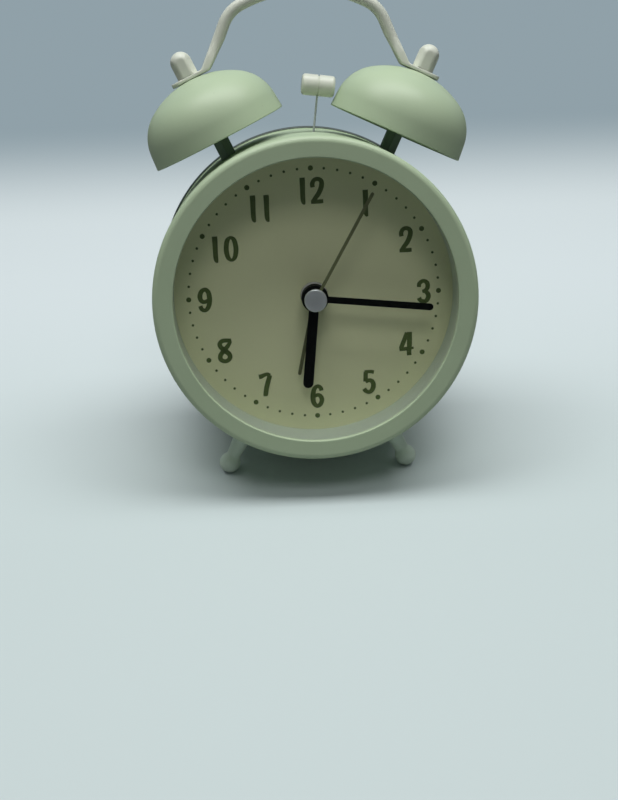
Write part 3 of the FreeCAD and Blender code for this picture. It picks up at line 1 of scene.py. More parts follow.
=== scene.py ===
"""Twin-bell alarm clock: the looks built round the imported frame.

Pieces are shaped in millimetres in the clock's own upright frame (X to the right as the dial is
read, Y into the clock, Z up, the dial's face on Y = 0) and then placed where the clock leans.
"""

import json
import logging
from collections.abc import Iterable, Sequence
from dataclasses import dataclass, field
from enum import Enum
from math import acos, asin, atan2, copysign, cos, degrees, hypot, pi, radians, sin, sqrt, tan

import bmesh
import bpy
from bmesh.types import BMEdge, BMesh, BMFace, BMVert
from mathutils import Matrix, Vector


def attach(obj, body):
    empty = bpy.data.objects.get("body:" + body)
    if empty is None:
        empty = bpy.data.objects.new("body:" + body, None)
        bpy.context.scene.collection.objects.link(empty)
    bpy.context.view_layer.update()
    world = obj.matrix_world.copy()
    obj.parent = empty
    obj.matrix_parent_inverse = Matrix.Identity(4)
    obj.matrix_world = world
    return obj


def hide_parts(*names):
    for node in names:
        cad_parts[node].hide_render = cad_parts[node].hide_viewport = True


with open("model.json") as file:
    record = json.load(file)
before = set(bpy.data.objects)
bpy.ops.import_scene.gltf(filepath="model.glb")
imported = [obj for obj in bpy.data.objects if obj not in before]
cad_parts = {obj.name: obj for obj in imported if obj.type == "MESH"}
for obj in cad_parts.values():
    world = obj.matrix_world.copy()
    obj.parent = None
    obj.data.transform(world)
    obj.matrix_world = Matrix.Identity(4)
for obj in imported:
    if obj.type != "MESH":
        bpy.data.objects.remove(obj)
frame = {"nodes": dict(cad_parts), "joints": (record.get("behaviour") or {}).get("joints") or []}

LOG = logging.getLogger("alarm_clock")
MM = 0.001  # metres
TOUCH = 1e-4  # millimetres that count as none
BELL_Y = 12.0  # bells, hammer and its slot
MINUTE_TURN = 6  # degrees
HOURS = 12
Colour = tuple[float, float, float]
Spot = tuple[float, float]
Place = tuple[float, float, float]
Node = bpy.types.Node
Socket = bpy.types.NodeSocket
Thing = bpy.types.Object


def clock_place() -> Matrix:
    """From the upright clock, in millimetres, to the frame, by the minute hand's hinge.

    Returns:
        The matrix.
    """
    hinge = next(joint for joint in frame["joints"] if joint["name"] == "minute_turn")
    across, into = Vector((1, 0, 0)), Vector(hinge["axis"])
    lean = Matrix((across, into, across.cross(into))).transposed().to_4x4()
    return Matrix.Translation(hinge["pos_m"]) @ lean @ Matrix.Scale(MM, 4)


CLOCK = clock_place()


# ---------------- shader effects
class Effect(Enum):
    """The shader groups that several finishes share."""

    MOTTLE = "tone_mottle"
    PEEL = "orange_peel"
    SPECKS = "dust_specks"
    GRAIN = "fine_grain"
    SCRATCHES = "hair_scratches"


EFFECT_INPUTS = {
    Effect.MOTTLE: {"Size": 12.0, "Contrast": 0.5}, Effect.GRAIN: {"Size": 0.3, "Contrast": 1.0},
    Effect.PEEL: {"Size": 1.2, "Softness": 0.5}, Effect.SCRATCHES: {"Spacing": 6.0, "Width": 0.03},
    Effect.SPECKS: {"Spacing": 2.4, "Radius": 0.07, "Share": 0.3}}
NOISE_DETAIL = {Effect.MOTTLE: 3.0, Effect.GRAIN: 2.0, Effect.PEEL: 1.0, Effect.SCRATCHES: 1.0}
SCRATCH_CELLS = 9.0


class Wiring:
    """Adds nodes to one tree and joins them."""

    def __init__(self, tree: bpy.types.NodeTree) -> None:
        """Start on a tree, with a material's own shader at hand."""
        self.tree, self.shader = tree, tree.nodes.get("Principled BSDF")

    def add(self, kind: str, **values: object) -> Node:
        """Add a node.

        Args:
            kind: Blender's name of the node type, after "ShaderNode".
            values: its settings, whose names are in lower case, and its sockets, as in feed().

        Returns:
            The node.
        """
        node = self.tree.nodes.new("ShaderNode" + kind)
        for name in filter(str.islower, list(values)):
            setattr(node, name, values.pop(name))
        self.feed(node, **values)
        return node

    def feed(self, node: Node, **inputs: object) -> None:
        """Feed sockets by name, with underscores for spaces."""
        for name, value in inputs.items():
            self.join(node.inputs[name.replace("_", " ")], value)

    def join(self, socket: Socket, value: object) -> None:
        """Give a socket a value or a colour, or join it to another socket.

        Args:
            socket: the input.
            value: a number, a colour or an output.
        """
        if isinstance(value, Socket):
            self.tree.links.new(value, socket)
        else:
            socket.default_value = (*value, 1.0) if socket.type == "RGBA" else value

    def gather(self, node: Node, values: Sequence, places: Sequence = (0, 1, 2), out: int = 0) -> Socket:
        """Feed sockets by their place in the node and give back one of its outputs.

        Args:
            node: the node.
            values: what its inputs get.
            places: which inputs.
            out: which output.

        Returns:
            The output.
        """
        for place, value in zip(places, values):
            self.join(node.inputs[place], value)
        return node.outputs[out]

    def sum(self, operation: str, first: object, second: object = 0.0, clamp: bool = False) -> Socket:
        """Join two numbers by a Math node's operation; clamped, the result stays between 0 and 1."""
        return self.gather(self.add("Math", operation=operation, use_clamp=clamp), (first, second))

    def times(self, first: object, second: object) -> Socket:
        """Multiply two numbers."""
        return self.sum("MULTIPLY", first, second)

    def blend(self, share: object, first: object, second: object) -> Socket:
        """Mix two colours by the share of the second."""
        return self.gather(self.add("Mix", data_type="RGBA"), (share, first, second), (0, 6, 7), 2)

    def show(self, share: object, first: Node, second: Node) -> None:
        """Put out a mix of two shaders by the share of the second.

        Args:
            share: the share.
            first: one shader.
            second: the other.
        """
        mixed = self.gather(self.add("MixShader"), (share, first.outputs[0], second.outputs[0]))
        end = next(node for node in self.tree.nodes if node.type.startswith("OUTPUT"))
        self.feed(end, Surface=mixed)

    def spread(self, value: Socket, span: Spot, onto: Spot = (0.0, 1.0)) -> Socket:
        """Map one span of numbers smoothly onto another."""
        return self.add("MapRange", interpolation_type="SMOOTHSTEP", Value=value, From_Min=span[0],
                        From_Max=span[1], To_Min=onto[0], To_Max=onto[1]).outputs[0]

    def in_mm(self) -> Socket:
        """Place on the piece, in millimetres."""
        spot = self.add("TexCoord").outputs["Object"]
        return self.add("VectorMath", operation="SCALE", Vector=spot, Scale=1 / MM).outputs[0]

    def part(self, vector: Socket, axis: str) -> Socket:
        """One of a vector's three numbers."""
        return self.add("SeparateXYZ", Vector=vector).outputs[axis]

    def effect(self, effect: Effect, **values: float) -> Socket:
        """Place an effect with its own values and give back its mask."""
        return self.add("Group", node_tree=effect_group(effect), **values).outputs["Mask"]

    def cover(self, height: Socket, depth: float, **inputs: object) -> None:
        """Feed the shader, with a height in units of depth millimetres under its normal."""
        bump = self.add("Bump", Height=height, Distance=depth * MM, Strength=1.0)
        self.feed(self.shader, Normal=bump.outputs[0], **inputs)


def effect_group(effect: Effect) -> bpy.types.NodeTree:
    """The shader group of an effect, built on its first use.

    Args:
        effect: which one.

    Returns:
        A group whose output Mask runs from 0 to 1 over the surface.
    """
    made = bpy.data.node_groups.get(effect.value)
    if made:
        return made
    tree = bpy.data.node_groups.new(effect.value, "ShaderNodeTree")
    for name, start in EFFECT_INPUTS[effect].items():
        tree.interface.new_socket(name, in_out="INPUT", socket_type="NodeSocketFloat").default_value = start
    tree.interface.new_socket("Mask", in_out="OUTPUT", socket_type="NodeSocketFloat")
    net = Wiring(tree)
    given = tree.nodes.new("NodeGroupInput").outputs
    texture = {"Vector": net.in_mm(), "Scale": net.sum("DIVIDE", 1.0, given[0])}
    if effect is Effect.SPECKS:
        cells = net.add("TexVoronoi", **texture).outputs
        near = net.sum("LESS_THAN", net.times(cells["Distance"], given["Spacing"]), given["Radius"])
        chance = net.add("SeparateColor", Color=cells["Color"]).outputs[0]
        mask = net.times(near, net.sum("LESS_THAN", chance, given["Share"]))
    else:
        noise = net.add("TexNoise", Detail=NOISE_DETAIL[effect], **texture).outputs
        if effect is Effect.PEEL:
            mask = net.times(noise[0], given["Softness"])
        elif effect is Effect.SCRATCHES:
            cells = net.add("TexVoronoi", feature="DISTANCE_TO_EDGE", Vector=noise["Color"],
                            Scale=SCRATCH_CELLS).outputs
            mask = net.sum("LESS_THAN", cells["Distance"], given["Width"])
        else:
            centred = net.sum("SUBTRACT", noise[0], 0.5)
            mask = net.sum("ADD", net.times(centred, given["Contrast"]), 0.5, clamp=True)
    net.join(tree.nodes.new("NodeGroupOutput").inputs["Mask"], mask)
    return tree


def new_material(name: str) -> tuple[bpy.types.Material, Wiring]:
    """A new material, and the wiring of its nodes.

    Args:
        name: the material's name.

    Returns:
        The material and its wiring.
    """
    material = bpy.data.materials.new(name)
    material.use_nodes = True
    return material, Wiring(material.node_tree)


# ---------------- finishes
@dataclass(frozen=True)
class Finish:
    """A surface finish, made into one material; its slot names one of the record's material slots."""

    name: str
    colour: Colour
    roughness: float = 0.5
    metallic: float = 0.0
    coat: float = 0.0
    coat_roughness: float = 0.1
    specular: float = 0.5
    slot: str = ""

    def material(self) -> bpy.types.Material:
        """The material of this finish, made on its first use.

        Returns:
            The material.
        """
        made = bpy.data.materials.get(self.name)
        if made:
            return made
        material, net = new_material(self.name)
        material.diffuse_color = (*self.colour, 1)
        net.feed(net.shader, Base_Color=self.colour, Roughness=self.roughness, Metallic=self.metallic,
                 Coat_Weight=self.coat, Coat_Roughness=self.coat_roughness, Specular_IOR_Level=self.specular)
        self.dress(net)
        return material

    def shade(self, share: float) -> Colour:
        """The colour times a share."""
        return tuple(c * share for c in self.colour)

    def tinted(self, net: Wiring, mask: Socket, dark: float, light: float) -> Socket:
        """The colour, from a dark to a light shade as the mask rises."""
        return net.blend(mask, self.shade(dark), self.shade(light))

    def uneven(self, net: Wiring, mask: Socket, shares: Spot, span: Spot = (0.2, 0.8)) -> Socket:
        """The roughness, from its least to its greatest share over a span of the mask."""
        return net.spread(mask, span, tuple(self.roughness * share for share in shares))

    def dress(self, net: Wiring) -> None:
        """Add what changes over the surface; each kind of finish has its own way."""
        raise NotImplementedError


@dataclass(frozen=True)
class Enamel(Finish):
    """Sprayed paint: slow changes of tone, orange peel, a few specks of dust."""

    specks: float = 0.25
    peel: float = 0.02

    def dress(self, net: Wiring) -> None:
        """Tone, roughness, specks and peel.

        Args:
            net: the material's wiring.
        """
        mottle = net.effect(Effect.MOTTLE, Size=14.0, Contrast=0.9)
        specks = net.effect(Effect.SPECKS, Spacing=2.6, Radius=0.085, Share=self.specks)
        peel = net.effect(Effect.PEEL, Size=0.9, Softness=1.0)
        base = net.blend(specks, self.tinted(net, mottle, 0.94, 1.04), self.shade(0.38))
        net.cover(net.sum("SUBTRACT", peel, net.times(specks, 0.8)), self.peel, Base_Color=base,
                  Roughness=self.uneven(net, mottle, (0.9, 1.15)))


@dataclass(frozen=True)
class Moulding(Finish):
    """Moulded plastic: fine grain from the tool's surface and faint flow marks."""

    grain: float = 0.35
    depth: float = 0.02

    def dress(self, net: Wiring) -> None:
        """Tone, roughness and grain.

        Args:
            net: the material's wiring.
        """
        flow = net.effect(Effect.MOTTLE, Size=9.0, Contrast=0.8)
        grain = net.effect(Effect.GRAIN, Size=self.grain, Contrast=1.6)
        net.cover(grain, self.depth, Base_Color=self.tinted(net, flow, 0.95, 1.03),
                  Roughness=self.uneven(net, grain, (0.88, 1.12)))


@dataclass(frozen=True)
class Paper(Finish):
    """Printed dial sheet: faint fibres and an uneven tone."""

    def dress(self, net: Wiring) -> None:
        """Tone and fibres.

        Args:
            net: the material's wiring.
        """
        tone = net.effect(Effect.MOTTLE, Size=16.0, Contrast=0.8)
        fibre = net.effect(Effect.GRAIN, Size=0.22, Contrast=1.2)
        base = net.blend(net.times(fibre, 0.06), self.tinted(net, tone, 0.96, 1.03), self.shade(0))
        net.cover(fibre, 0.008, Base_Color=base)


@dataclass(frozen=True)
class Ink(Finish):
    """Printing ink, a little uneven in its density."""

    paper: Colour = (0.7, 0.74, 0.46)

    def dress(self, net: Wiring) -> None:
        """Density.

        Args:
            net: the material's wiring.
        """
        grain = net.effect(Effect.GRAIN, Size=0.35, Contrast=1.5)
        thin = net.spread(grain, (0.55, 1.0), (0.02, 0.16))
        net.cover(grain, 0.004, Base_Color=net.blend(thin, self.colour, self.paper))


@dataclass(frozen=True)
class Worked(Finish):
    """Metal with the marks of its working: grain, hair scratches and a patchy tone."""

    grain: float = 0.25
    depth: float = 0.01
    scratches: float = 0.012

    def dress(self, net: Wiring) -> None:
        """Tone, roughness, grain and scratches.

        Args:
            net: the material's wiring.
        """
        patch = net.effect(Effect.MOTTLE, Size=5.0, Contrast=1.4)
        grain = net.effect(Effect.GRAIN, Size=self.grain, Contrast=1.4)
        marks = net.effect(Effect.SCRATCHES, Spacing=7.0, Width=self.scratches)
        rough = net.sum("ADD", self.uneven(net, patch, (0.8, 1.25)), net.times(marks, 0.15))
        net.cover(net.sum("SUBTRACT", grain, marks), self.depth, Roughness=rough,
                  Base_Color=self.tinted(net, patch, 0.88, 1.05))


@dataclass(frozen=True)
class Lathed(Finish):
    """Metal turned on a lathe: fine rings round the clock's axis."""

    pitch: float = 0.18

    def dress(self, net: Wiring) -> None:
        """Rings and a patchy roughness.

        Args:
            net: the material's wiring.
        """
        spot = net.add("Mapping", vector_type="TEXTURE", Vector=net.in_mm(),
                       Location=CLOCK.translation / MM, Rotation=CLOCK.to_euler()).outputs[0]
        flat = net.add("CombineXYZ", X=net.part(spot, "X"), Y=net.part(spot, "Z")).outputs[0]
        radius = net.add("VectorMath", operation="LENGTH", Vector=flat).outputs["Value"]
        wave = net.sum("SINE", net.times(radius, 2 * pi / self.pitch))
        noise = net.add("TexNoise", noise_dimensions="1D", W=radius, Scale=3.0).outputs[0]
        patch = net.effect(Effect.MOTTLE, Size=3.0, Contrast=1.2)
        net.cover(net.sum("ADD", net.times(wave, 0.4), noise), 0.0015,
                  Base_Color=self.tinted(net, patch, 0.92, 1.04),
                  Roughness=self.uneven(net, noise, (0.8, 1.2), (0.3, 0.7)))


@dataclass(frozen=True)
class Wound(Finish):
    """Enamelled wire wound on a bobbin along X: one fine ridge for each turn, its colour painted darker
    towards the hollows between turns and lighter on the crowns as painted shade and highlight.
    """

    pitch: float = 0.16

    def dress(self, net: Wiring) -> None:
        """Turns, with painted shade between them and painted highlight on their crowns, and a patchy tone.

        Args:
            net: the material's wiring.
        """
        turns = net.times(net.part(net.in_mm(), "X"), 2 * pi / self.pitch)
        tone = net.spread(net.sum("SINE", turns), (-1.0, 1.0))
        patch = net.effect(Effect.MOTTLE, Size=3.0, Contrast=1.5)
        # painted shade and highlight: the colour darkens with the ridge's sine towards the hollows between
        # turns and lightens on their crowns, varied by the patchy tone
        net.cover(tone, 0.05, Base_Color=self.tinted(net, net.times(tone, patch), 0.6, 1.15))


@dataclass(frozen=True)
class BoardMask(Finish):
    """Solder mask with copper tracks just showing through it."""

    track: Colour = (0.058, 0.324, 0.134)

    def dress(self, net: Wiring) -> None:
        """Tracks and tone.

        Args:
            net: the material's wiring.
        """
        tracks = net.add("TexBrick", offset=0.35, Vector=net.in_mm(), Scale=0.55,
                         Mortar_Size=0.06).outputs["Fac"]
        mottle = net.effect(Effect.MOTTLE, Size=2.0, Contrast=1.0)
        net.cover(tracks, 0.03, Base_Color=net.blend(
            tracks, self.tinted(net, mottle, 0.85, 1.1), self.track))


@dataclass(frozen=True)
class CellWrap(Finish):
    """Shrink film round the battery cell, plain, with a metal-coloured band at one end."""

    band: Colour = (0.62, 0.56, 0.4)
    band_edge: Spot = (15.8, 16.0)

    def dress(self, net: Wiring) -> None:
        """Band and creases.

        Args:
            net: the material's wiring.
        """
        share = net.spread(net.part(net.in_mm(), "X"), self.band_edge)
        crease = net.effect(Effect.GRAIN, Size=1.6, Contrast=1.2)
        base = net.blend(share, self.tinted(net, crease, 0.9, 1.05), self.band)
        net.cover(crease, 0.03, Base_Color=base)


@dataclass(frozen=True)
class ClearSheet(Finish):
    """Clear moulded lens with a trace of haze; it lets less light through at a slant."""

    ior: float = 1.49
    clearness: float = 0.96

    def dress(self, net: Wiring) -> None:
        """Glass for what is seen, open for the light.

        Args:
            net: the material's wiring.
        """
        haze = net.effect(Effect.MOTTLE, Size=11.0, Contrast=1.0)
        net.feed(net.shader, Transmission_Weight=1.0, IOR=self.ior,
                 Roughness=net.spread(haze, (0.3, 0.9), (0.0, self.roughness)))
        slant = net.sum("POWER", net.add("LayerWeight", Blend=0.5).outputs["Facing"], 5.0)
        open_way = net.add("BsdfTransparent", Color=net.spread(slant, (0.0, 1.0), (self.clearness, 0.0)))
        path = net.add("LightPath").outputs
        light = net.sum("MAXIMUM", path["Is Shadow Ray"], path["Is Diffuse Ray"])
        net.show(light, net.shader, open_way)


MINT_ENAMEL = Enamel("mint_enamel", (0.465, 0.58, 0.39), roughness=0.46, coat=0.08, coat_roughness=0.3,
                     slot="mint_paint")
CREAM_ENAMEL = Enamel("cream_enamel", (0.70, 0.735, 0.63), roughness=0.4, coat=0.1, coat_roughness=0.25,
                      slot="cream_paint", specks=0.12)
# painted light: a lighter, greener, glossier copy of the cream paint for the legs, standing in for the
# floor's bounce light on them
LEG_ENAMEL_PAINTED_LIGHT = Enamel("leg_enamel_painted_light", (0.74, 0.88, 0.74), roughness=0.34, coat=0.25, coat_roughness=0.15,
                     slot="cream_paint", specks=0.12)
MINT_MOULDING = Moulding("mint_moulding", (0.49, 0.555, 0.43), roughness=0.42, slot="mint_plastic")
SPACER_MOULDING = Moulding("spacer_moulding", (0.54, 0.63, 0.53), roughness=0.42, slot="mint_plastic")
CREAM_MOULDING = Moulding("cream_moulding", (0.70, 0.71, 0.60), roughness=0.4, slot="cream_plastic")
CLEAR_LENS = ClearSheet("clear_sheet", (1.0, 1.0, 1.0), roughness=0.04, slot="clear_lens")
DIAL_SHEET = Paper("dial_sheet", (0.85, 0.88, 0.55), roughness=0.62, slot="dial_print")
DIAL_INK = Ink("dial_ink", (0.078, 0.125, 0.026), roughness=0.55, slot="dial_print")
HAND_BLACK = Enamel("hand_black", (0.004, 0.005, 0.0045), roughness=0.45, specular=0.06, slot="black_paint",
                    specks=0.03, peel=0.006)
HAND_OLIVE = Enamel("hand_olive", (0.145, 0.162, 0.078), roughness=0.4, specular=0.25, slot="olive_paint",
                    specks=0.03, peel=0.006)
CAP_ALUMINIUM = Lathed("cap_aluminium", (0.72, 0.77, 0.80), roughness=0.42, metallic=0.8, slot="cap_metal")
ZINC = Worked("zinc_plate", (0.66, 0.67, 0.68), roughness=0.34, metallic=1.0, slot="zinc_steel")
BLACKENED = Worked("blackened_steel", (0.035, 0.045, 0.038), roughness=0.38, metallic=1.0)
POST_PAINT = Enamel("post_paint", (0.22, 0.31, 0.235), roughness=0.42, slot="dark_steel", specks=0.1,
                    peel=0.01)
# painted shadow: near-black paint for the outer half of the can's rear bead, standing in for the dark line of
# shade along the rim
RIM_SHADOW_PAINT = Enamel("rim_shadow_paint", (0.035, 0.055, 0.045), roughness=0.42)
WIRE_STEEL = Worked("wire_steel", (0.66, 0.71, 0.71), roughness=0.45, metallic=0.3, slot="zinc_steel")
BRASS = Worked("yellow_brass", (0.72, 0.53, 0.25), roughness=0.3, metallic=1.0)
COPPER = Wound("enamelled_copper", (0.62, 0.26, 0.12), roughness=0.35, metallic=0.9)
WHITE_MOULDING = Moulding("white_moulding", (0.78, 0.78, 0.75), roughness=0.38, grain=0.5, depth=0.01)
BLACK_MOULDING = Moulding("black_moulding", (0.022, 0.023, 0.024), roughness=0.45)
SOLDER_MASK = BoardMask("solder_mask", (0.02, 0.16, 0.06), roughness=0.35)
CELL_FILM = CellWrap("cell_film", (0.05, 0.08, 0.12), roughness=0.3)


# ---------------- shaping
def turn(angle: float, axis: str) -> Matrix:
    """Turn by degrees about X, Y or Z."""
    return Matrix.Rotation(radians(angle), 4, axis)


def shift(x: float, y: float, z: float) -> Matrix:
    """Move by three lengths."""
    return Matrix.Translation((x, y, z))


def only(kind: type, geometry: Iterable) -> list:
    """The points, edges or faces in what an operator made."""
    return [item for item in geometry if isinstance(item, kind)]


def everything(bm: BMesh) -> list:
    """All points, edges and faces of a mesh."""
    return bm.verts[:] + bm.edges[:] + bm.faces[:]


def moved(bm: BMesh, matrix: Matrix) -> BMesh:
    """Move a whole mesh."""
    bmesh.ops.transform(bm, matrix=matrix, verts=bm.verts[:])
    return bm


def outward(bm: BMesh) -> BMesh:
    """Point the faces outward."""
    bmesh.ops.recalc_face_normals(bm, faces=bm.faces[:])
    return bm


def tidy(bm: BMesh, reach: float = TOUCH) -> BMesh:
    """Merge doubles and point the faces outward.

    Args:
        bm: the mesh.
        reach: how close together doubles lie.

    Returns:
        The same mesh.
    """
    bmesh.ops.remove_doubles(bm, verts=bm.verts[:], dist=reach)
    bmesh.ops.dissolve_degenerate(bm, edges=bm.edges[:], dist=TOUCH / 10)
    return outward(bm)


def spin(bm: BMesh, geom: list, centre: Place, axis: Place, angle: float, steps: int, **more: bool) -> list:
    """Spin geometry about an axis by an angle in radians, and give back what the last step made."""
    return bmesh.ops.spin(bm, geom=geom, cent=centre, axis=axis, dvec=(0, 0, 0), angle=angle, steps=steps,
                          **more)["geom_last"]


class Turning:
    """A half outline in the X-Y plane, X being the radius, that is spun round Y."""

    def __init__(self, radius: float, along: float) -> None:
        """Start the outline at a radius and a place along the axis."""
        self.bm = bmesh.new()
        self.tip = self.first = self.bm.verts.new((radius, along, 0))

    def line(self, *spots: Spot) -> "Turning":
        """Run straight to each (radius, along) in turn.

        Args:
            spots: where to.

        Returns:
            The outline.
        """
        for radius, along in spots:
            self.tip = bmesh.ops.extrude_vert_indiv(self.bm, verts=[self.tip])["verts"][0]
            self.tip.co = (radius, along, 0)
        return self

    def arc(self, centre: Spot, angle: float, steps: int = 3) -> "Turning":
        """Turn the tip about a centre by degrees, counterclockwise where they are positive.

        Args:
            centre: the centre, as (radius, along).
            angle: the degrees.
            steps: straight pieces in the arc.

        Returns:
            The outline.
        """
        made = spin(self.bm, [self.tip], (*centre, 0), (0, 0, 1), radians(angle), steps)
        self.tip = only(BMVert, made)[0]
        return self

    def near_corner(self, radius: float, along: float, edge: float, steps: int = 3) -> "Turning":
        """Run outward to a corner that is rounded by an edge, and round it."""
        return self.line((radius - edge, along)).arc((radius - edge, along + edge), 90, steps)

    def far_corner(self, radius: float, along: float, edge: float, steps: int = 3) -> "Turning":
        """Run along to a corner that is rounded by an edge, and round it inward."""
        return self.line((radius, along - edge)).arc((radius - edge, along - edge), 90, steps)

    def spun(self, steps: int = 128, closed: bool = False) -> BMesh:
        """Spin the outline a full turn.

        Args:
            steps: number of flat facets round the axis.
            closed: first join the outline's tip to its start.

        Returns:
            The mesh, its doubles merged and its faces outward.
        """
        if closed:
            self.bm.edges.new((self.tip, self.first))
        spin(self.bm, everything(self.bm), (0, 0, 0), (0, 1, 0), 2 * pi, steps, use_merge=True)
        return tidy(self.bm)


def bevel(bm: BMesh, edges: list, width: float, segments: int, slide: bool) -> None:
    """Round edges by a width, in a number of segments."""
    bmesh.ops.bevel(bm, geom=edges, offset=width, offset_type="OFFSET", segments=segments, profile=0.5,
                    affect="EDGES", material=-1, clamp_overlap=True, loop_slide=slide)


def ease_edges(bm: BMesh, width: float, angle: float = 40) -> BMesh:
    """Round the edges that are sharper than an angle in degrees.

    Args:
        bm: the mesh.
        width: how far the rounding reaches.
        angle: the angle.

    Returns:
        The same mesh.
    """
    sharp = [e for e in bm.edges if len(e.link_faces) == 2 and e.calc_face_angle() > radians(angle)]
    bevel(bm, sharp, width, 2, True)
    return bm


def next_ring(bm: BMesh, ring: list, edges: list) -> tuple[list, list, list]:
    """Extrude edges and give back their points, in the old ones' order, their edges and the faces.

    Args:
        bm: the mesh.
        ring: the edges' points.
        edges: what is extruded.

    Returns:
        New points, new edges and the faces between old and new.
    """
    made = bmesh.ops.extrude_edge_only(bm, edges=edges)["geom"]
    fresh = set(only(BMVert, made))
    line = [next(e.other_vert(v) for e in v.link_edges if e.other_vert(v) in fresh) for v in ring]
    return line, [e for e in only(BMEdge, made) if fresh.issuperset(e.verts)], only(BMFace, made)


def slab(bm: BMesh, faces: Iterable, way: Place) -> BMesh:
    """Give flat faces a thickness, then turn the whole outward.

    Args:
        bm: the mesh.
        faces: the flat faces.
        way: the thickness, as a move.

    Returns:
        The same mesh.
    """
    made = bmesh.ops.extrude_face_region(bm, geom=list(faces))["geom"]
    bmesh.ops.translate(bm, vec=way, verts=only(BMVert, made))
    return outward(bm)


def joined(*parts: BMesh) -> BMesh:
    """Put several meshes into one, each still its own shell.

    Args:
        parts: the meshes; they are used up.

    Returns:
        One mesh.
    """
    whole = bmesh.new()
    for part in parts:
        scratch = bpy.data.meshes.new("scratch")
        part.to_mesh(scratch)
        part.free()
        whole.from_mesh(scratch)
        bpy.data.meshes.remove(scratch)
    return whole


def round_bar(radius: float, low: float, high: float) -> BMesh:
    """Round bar along Z between two heights, its ends closed.

    Args:
        radius: the bar's radius.
        low: its lower end.
        high: its upper end.

    Returns:
        The bar.
    """
    bm = bmesh.new()
    bmesh.ops.create_cone(bm, cap_ends=True, segments=24, radius1=radius, radius2=radius, depth=high - low,
                          matrix=shift(0, 0, (low + high) / 2))
    return bm


def merged_solid(node: str) -> BMesh:
    """A copy of a node's mesh in the clock's frame, its loose triangles merged into plain faces.

    Args:
        node: the node's name.

    Returns:
        The copy, in millimetres.
    """
    bm = bmesh.new()
    bm.from_mesh(frame["nodes"][node].data)
    moved(bm, CLOCK.inverted())
    bmesh.ops.remove_doubles(bm, verts=bm.verts[:], dist=0.002)
    bmesh.ops.dissolve_limit(bm, angle_limit=radians(1.0), verts=bm.verts[:], edges=bm.edges[:],
                             use_dissolve_boundaries=False)
    return bm


Y_TO_Z = turn(90, "X")


def linked(name: str, data: bpy.types.ID) -> Thing:
    """A new object in the scene.

    Args:
        name: its name.
        data: its mesh, light or camera.

    Returns:
        The object.
    """
    thing = bpy.data.objects.new(name, data)
    bpy.context.scene.collection.objects.link(thing)
    return thing


def thing_of(name: str, bm: BMesh) -> Thing:
    """A new object from a mesh, which is used up.

    Args:
        name: the name of both.
        bm: the mesh.

    Returns:
        The object.
    """
    mesh = bpy.data.meshes.new(name)
    bm.to_mesh(mesh)
    bm.free()
    return linked(name, mesh)


@dataclass(frozen=True)
class Piece:
    """A piece's name, its finish, the node that it stands for, if any, and the body it rides on."""

    name: str
    finish: Finish
    node: str = ""
    body: str = "case"

    def place(self, bm: BMesh, where: Matrix = Matrix(), crease: float = 32.0) -> Thing:
        """Place the mesh in the frame and finish it.

        Args:
            bm: the mesh in millimetres; it is used up.
            where: its place in the upright clock.
            crease: edges sharper than this stay sharp.

        Returns:
            The object.
        """
        moved(bm, CLOCK @ where)
        if where.determinant() < 0:
            bmesh.ops.reverse_faces(bm, faces=bm.faces[:])
        thing = thing_of(self.name, bm)
        mesh = thing.data
        mesh.materials.append(self.finish.material())
        mesh.shade_smooth()
        mesh.set_sharp_from_angle(angle=radians(crease))
        thing.modifiers.new("even_normals", "WEIGHTED_NORMAL").keep_sharp = True
        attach(thing, self.body)
        if self.node:
            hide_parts(self.node)
        LOG.info("%s: %d faces, rides on %s", self.name, len(mesh.polygons), self.body)
        return thing


class Side(Enum):
    """Left or right, as seen from the front."""

    LEFT = -1
    RIGHT = 1

    def flip(self) -> Matrix:
        """Mirror for the left side, nothing for the right."""
        return Matrix.Diagonal((self.value, 1, 1, 1))


